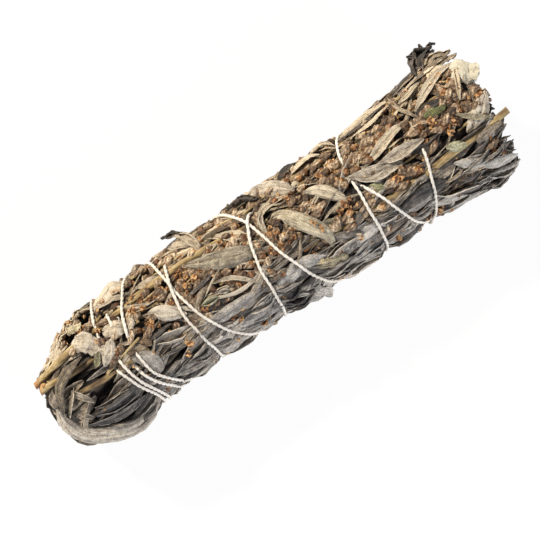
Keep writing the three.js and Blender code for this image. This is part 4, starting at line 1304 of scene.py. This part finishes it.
def ply(centre, outward, turn):
    """The line of one ply, twisted about the string's own line."""
    tangent = unit_rows(np.gradient(centre, axis=0))
    across = unit_rows(np.cross(tangent, outward))
    twist = (2 * pi * length_at(centre) / (PLY_PITCH * MM) + turn)[:, None]
    return centre + PLY_OFFSET * MM * (np.cos(twist) * np.cross(across, tangent) + np.sin(twist) * across)


def plies(x, angle, height):
    """The lines of both plies of a string that passes these places on the bundle."""
    centre = on_bundle(x, angle, height)
    outward = unit_rows(on_bundle(x, angle, height + 1) - centre)
    return [ply(centre, outward, 0), ply(centre, outward, pi)]


def cord_mesh(name, lines):
    """Round plies along lines of points, as one mesh."""
    curve = bpy.data.curves.new(name, "CURVE")
    curve.dimensions = "3D"
    curve.bevel_depth = PLY_RADIUS * MM
    curve.bevel_resolution = 1
    curve.use_fill_caps = True
    for line in lines:
        spline = curve.splines.new("POLY")
        spline.points.add(len(line) - 1)
        spline.points.foreach_set("co", np.hstack([line, np.ones((len(line), 1))]).ravel())
    cord = bpy.data.objects.new(name, curve)
    bpy.context.collection.objects.link(cord)
    alone(cord)
    bpy.ops.object.convert(target="MESH")
    bpy.ops.object.shade_smooth()
    return bpy.context.object


fine_angle = np.arange(route_angle[0], route_angle[-1], 1.0)
fine_x = string_x(fine_angle) + 0.12 * np.sin(fine_angle / 7) * np.sin(fine_angle / 19)
fine_height = STRING_DIAMETER / 2 + np.interp(fine_angle, route_angle, lifts) - SINKING * sunk(fine_angle)
string = cord_mesh("wound_string", plies(fine_x, np.radians(fine_angle), fine_height))


def string_finish():
    """Undyed cotton: fine fibres, soiled here and there."""
    cotton = Finish("cotton_string")
    place = cotton.node("TexCoord", output="Object")
    fibre = cotton.grain(place, 0.1 * MM, 2)
    soil = cotton.grain(place, 5 * MM, 2)
    colour = cotton.ramp(fibre * 0.5 + soil * 0.5, (0.3, (0.66, 0.58, 0.47)), (0.6, (0.90, 0.85, 0.77)))
    return cotton.dress(Base_Color=colour, Roughness=0.9, Sheen_Weight=0.2,
                        Normal=cotton.bump(fibre, 0.08 * MM))


cotton_string = string_finish()
string.data.materials.append(cotton_string)
finished(string, "cotton_string", "string_winding")

# ---- Knot ----
# The two ends are tied behind the bundle in a small reef knot, pulled tight, with short tails.
KNOT_X, KNOT_ANGLE, KNOT_HEIGHT = -38.2, -130, 1.4
KNOT_POINTS = 90  # along each of its two strings


def knot_line(route):
    """The plies of a string through points given as x, arc and height from the knot's middle."""
    knot_arc = radians(KNOT_ANGLE) * WAIST_RADIUS
    points = [(KNOT_X + x, knot_arc + arc, KNOT_HEIGHT + height) for x, arc, height in route]
    place, _ = curve_through(points, np.linspace(0, 1, KNOT_POINTS))
    return plies(place[:, 0], place[:, 1] / WAIST_RADIUS, place[:, 2])


KNOT_ROUTES = [
    [(-2.2, 2.6, -1), (-1.6, 1.5, -0.5), (-0.4, 0.2, 0.3), (0.6, -0.6, 0), (0.9, 0.3, -0.3), (0.1, 0.9, 0.2),
     (-0.9, 0.3, 0.5), (-1.6, -0.7, 0.2), (-3.2, -1.5, 0.1), (-4.8, -1.9, -0.2), (-5.6, -1.7, -0.5)],
    [(2.8, -2.4, -1), (1.8, -1.3, -0.5), (0.3, -0.2, -0.2), (-0.6, 0.5, -0.2), (-0.9, -0.4, 0.1),
     (-0.1, -0.8, 0.4), (0.9, -0.2, 0.3), (2, 0, 0.3), (3.4, -0.6, 0.2), (4.4, -1.3, 0), (5, -1.4, -0.3)],
]
knot = cord_mesh("tied_knot", [line for route in KNOT_ROUTES for line in knot_line(route)])
knot.data.materials.append(cotton_string)
finished(knot, "cotton_string", "string_knot")

# ---- The patterns are cleared away ----
for pattern in [*inner_patterns, *outer_patterns, *blades.values(), *head_patterns, *crumb_patterns,
                grain_pattern, wedge_pattern, stem_pattern, twig_pattern, cut_stem_pattern]:
    bpy.data.objects.remove(pattern)
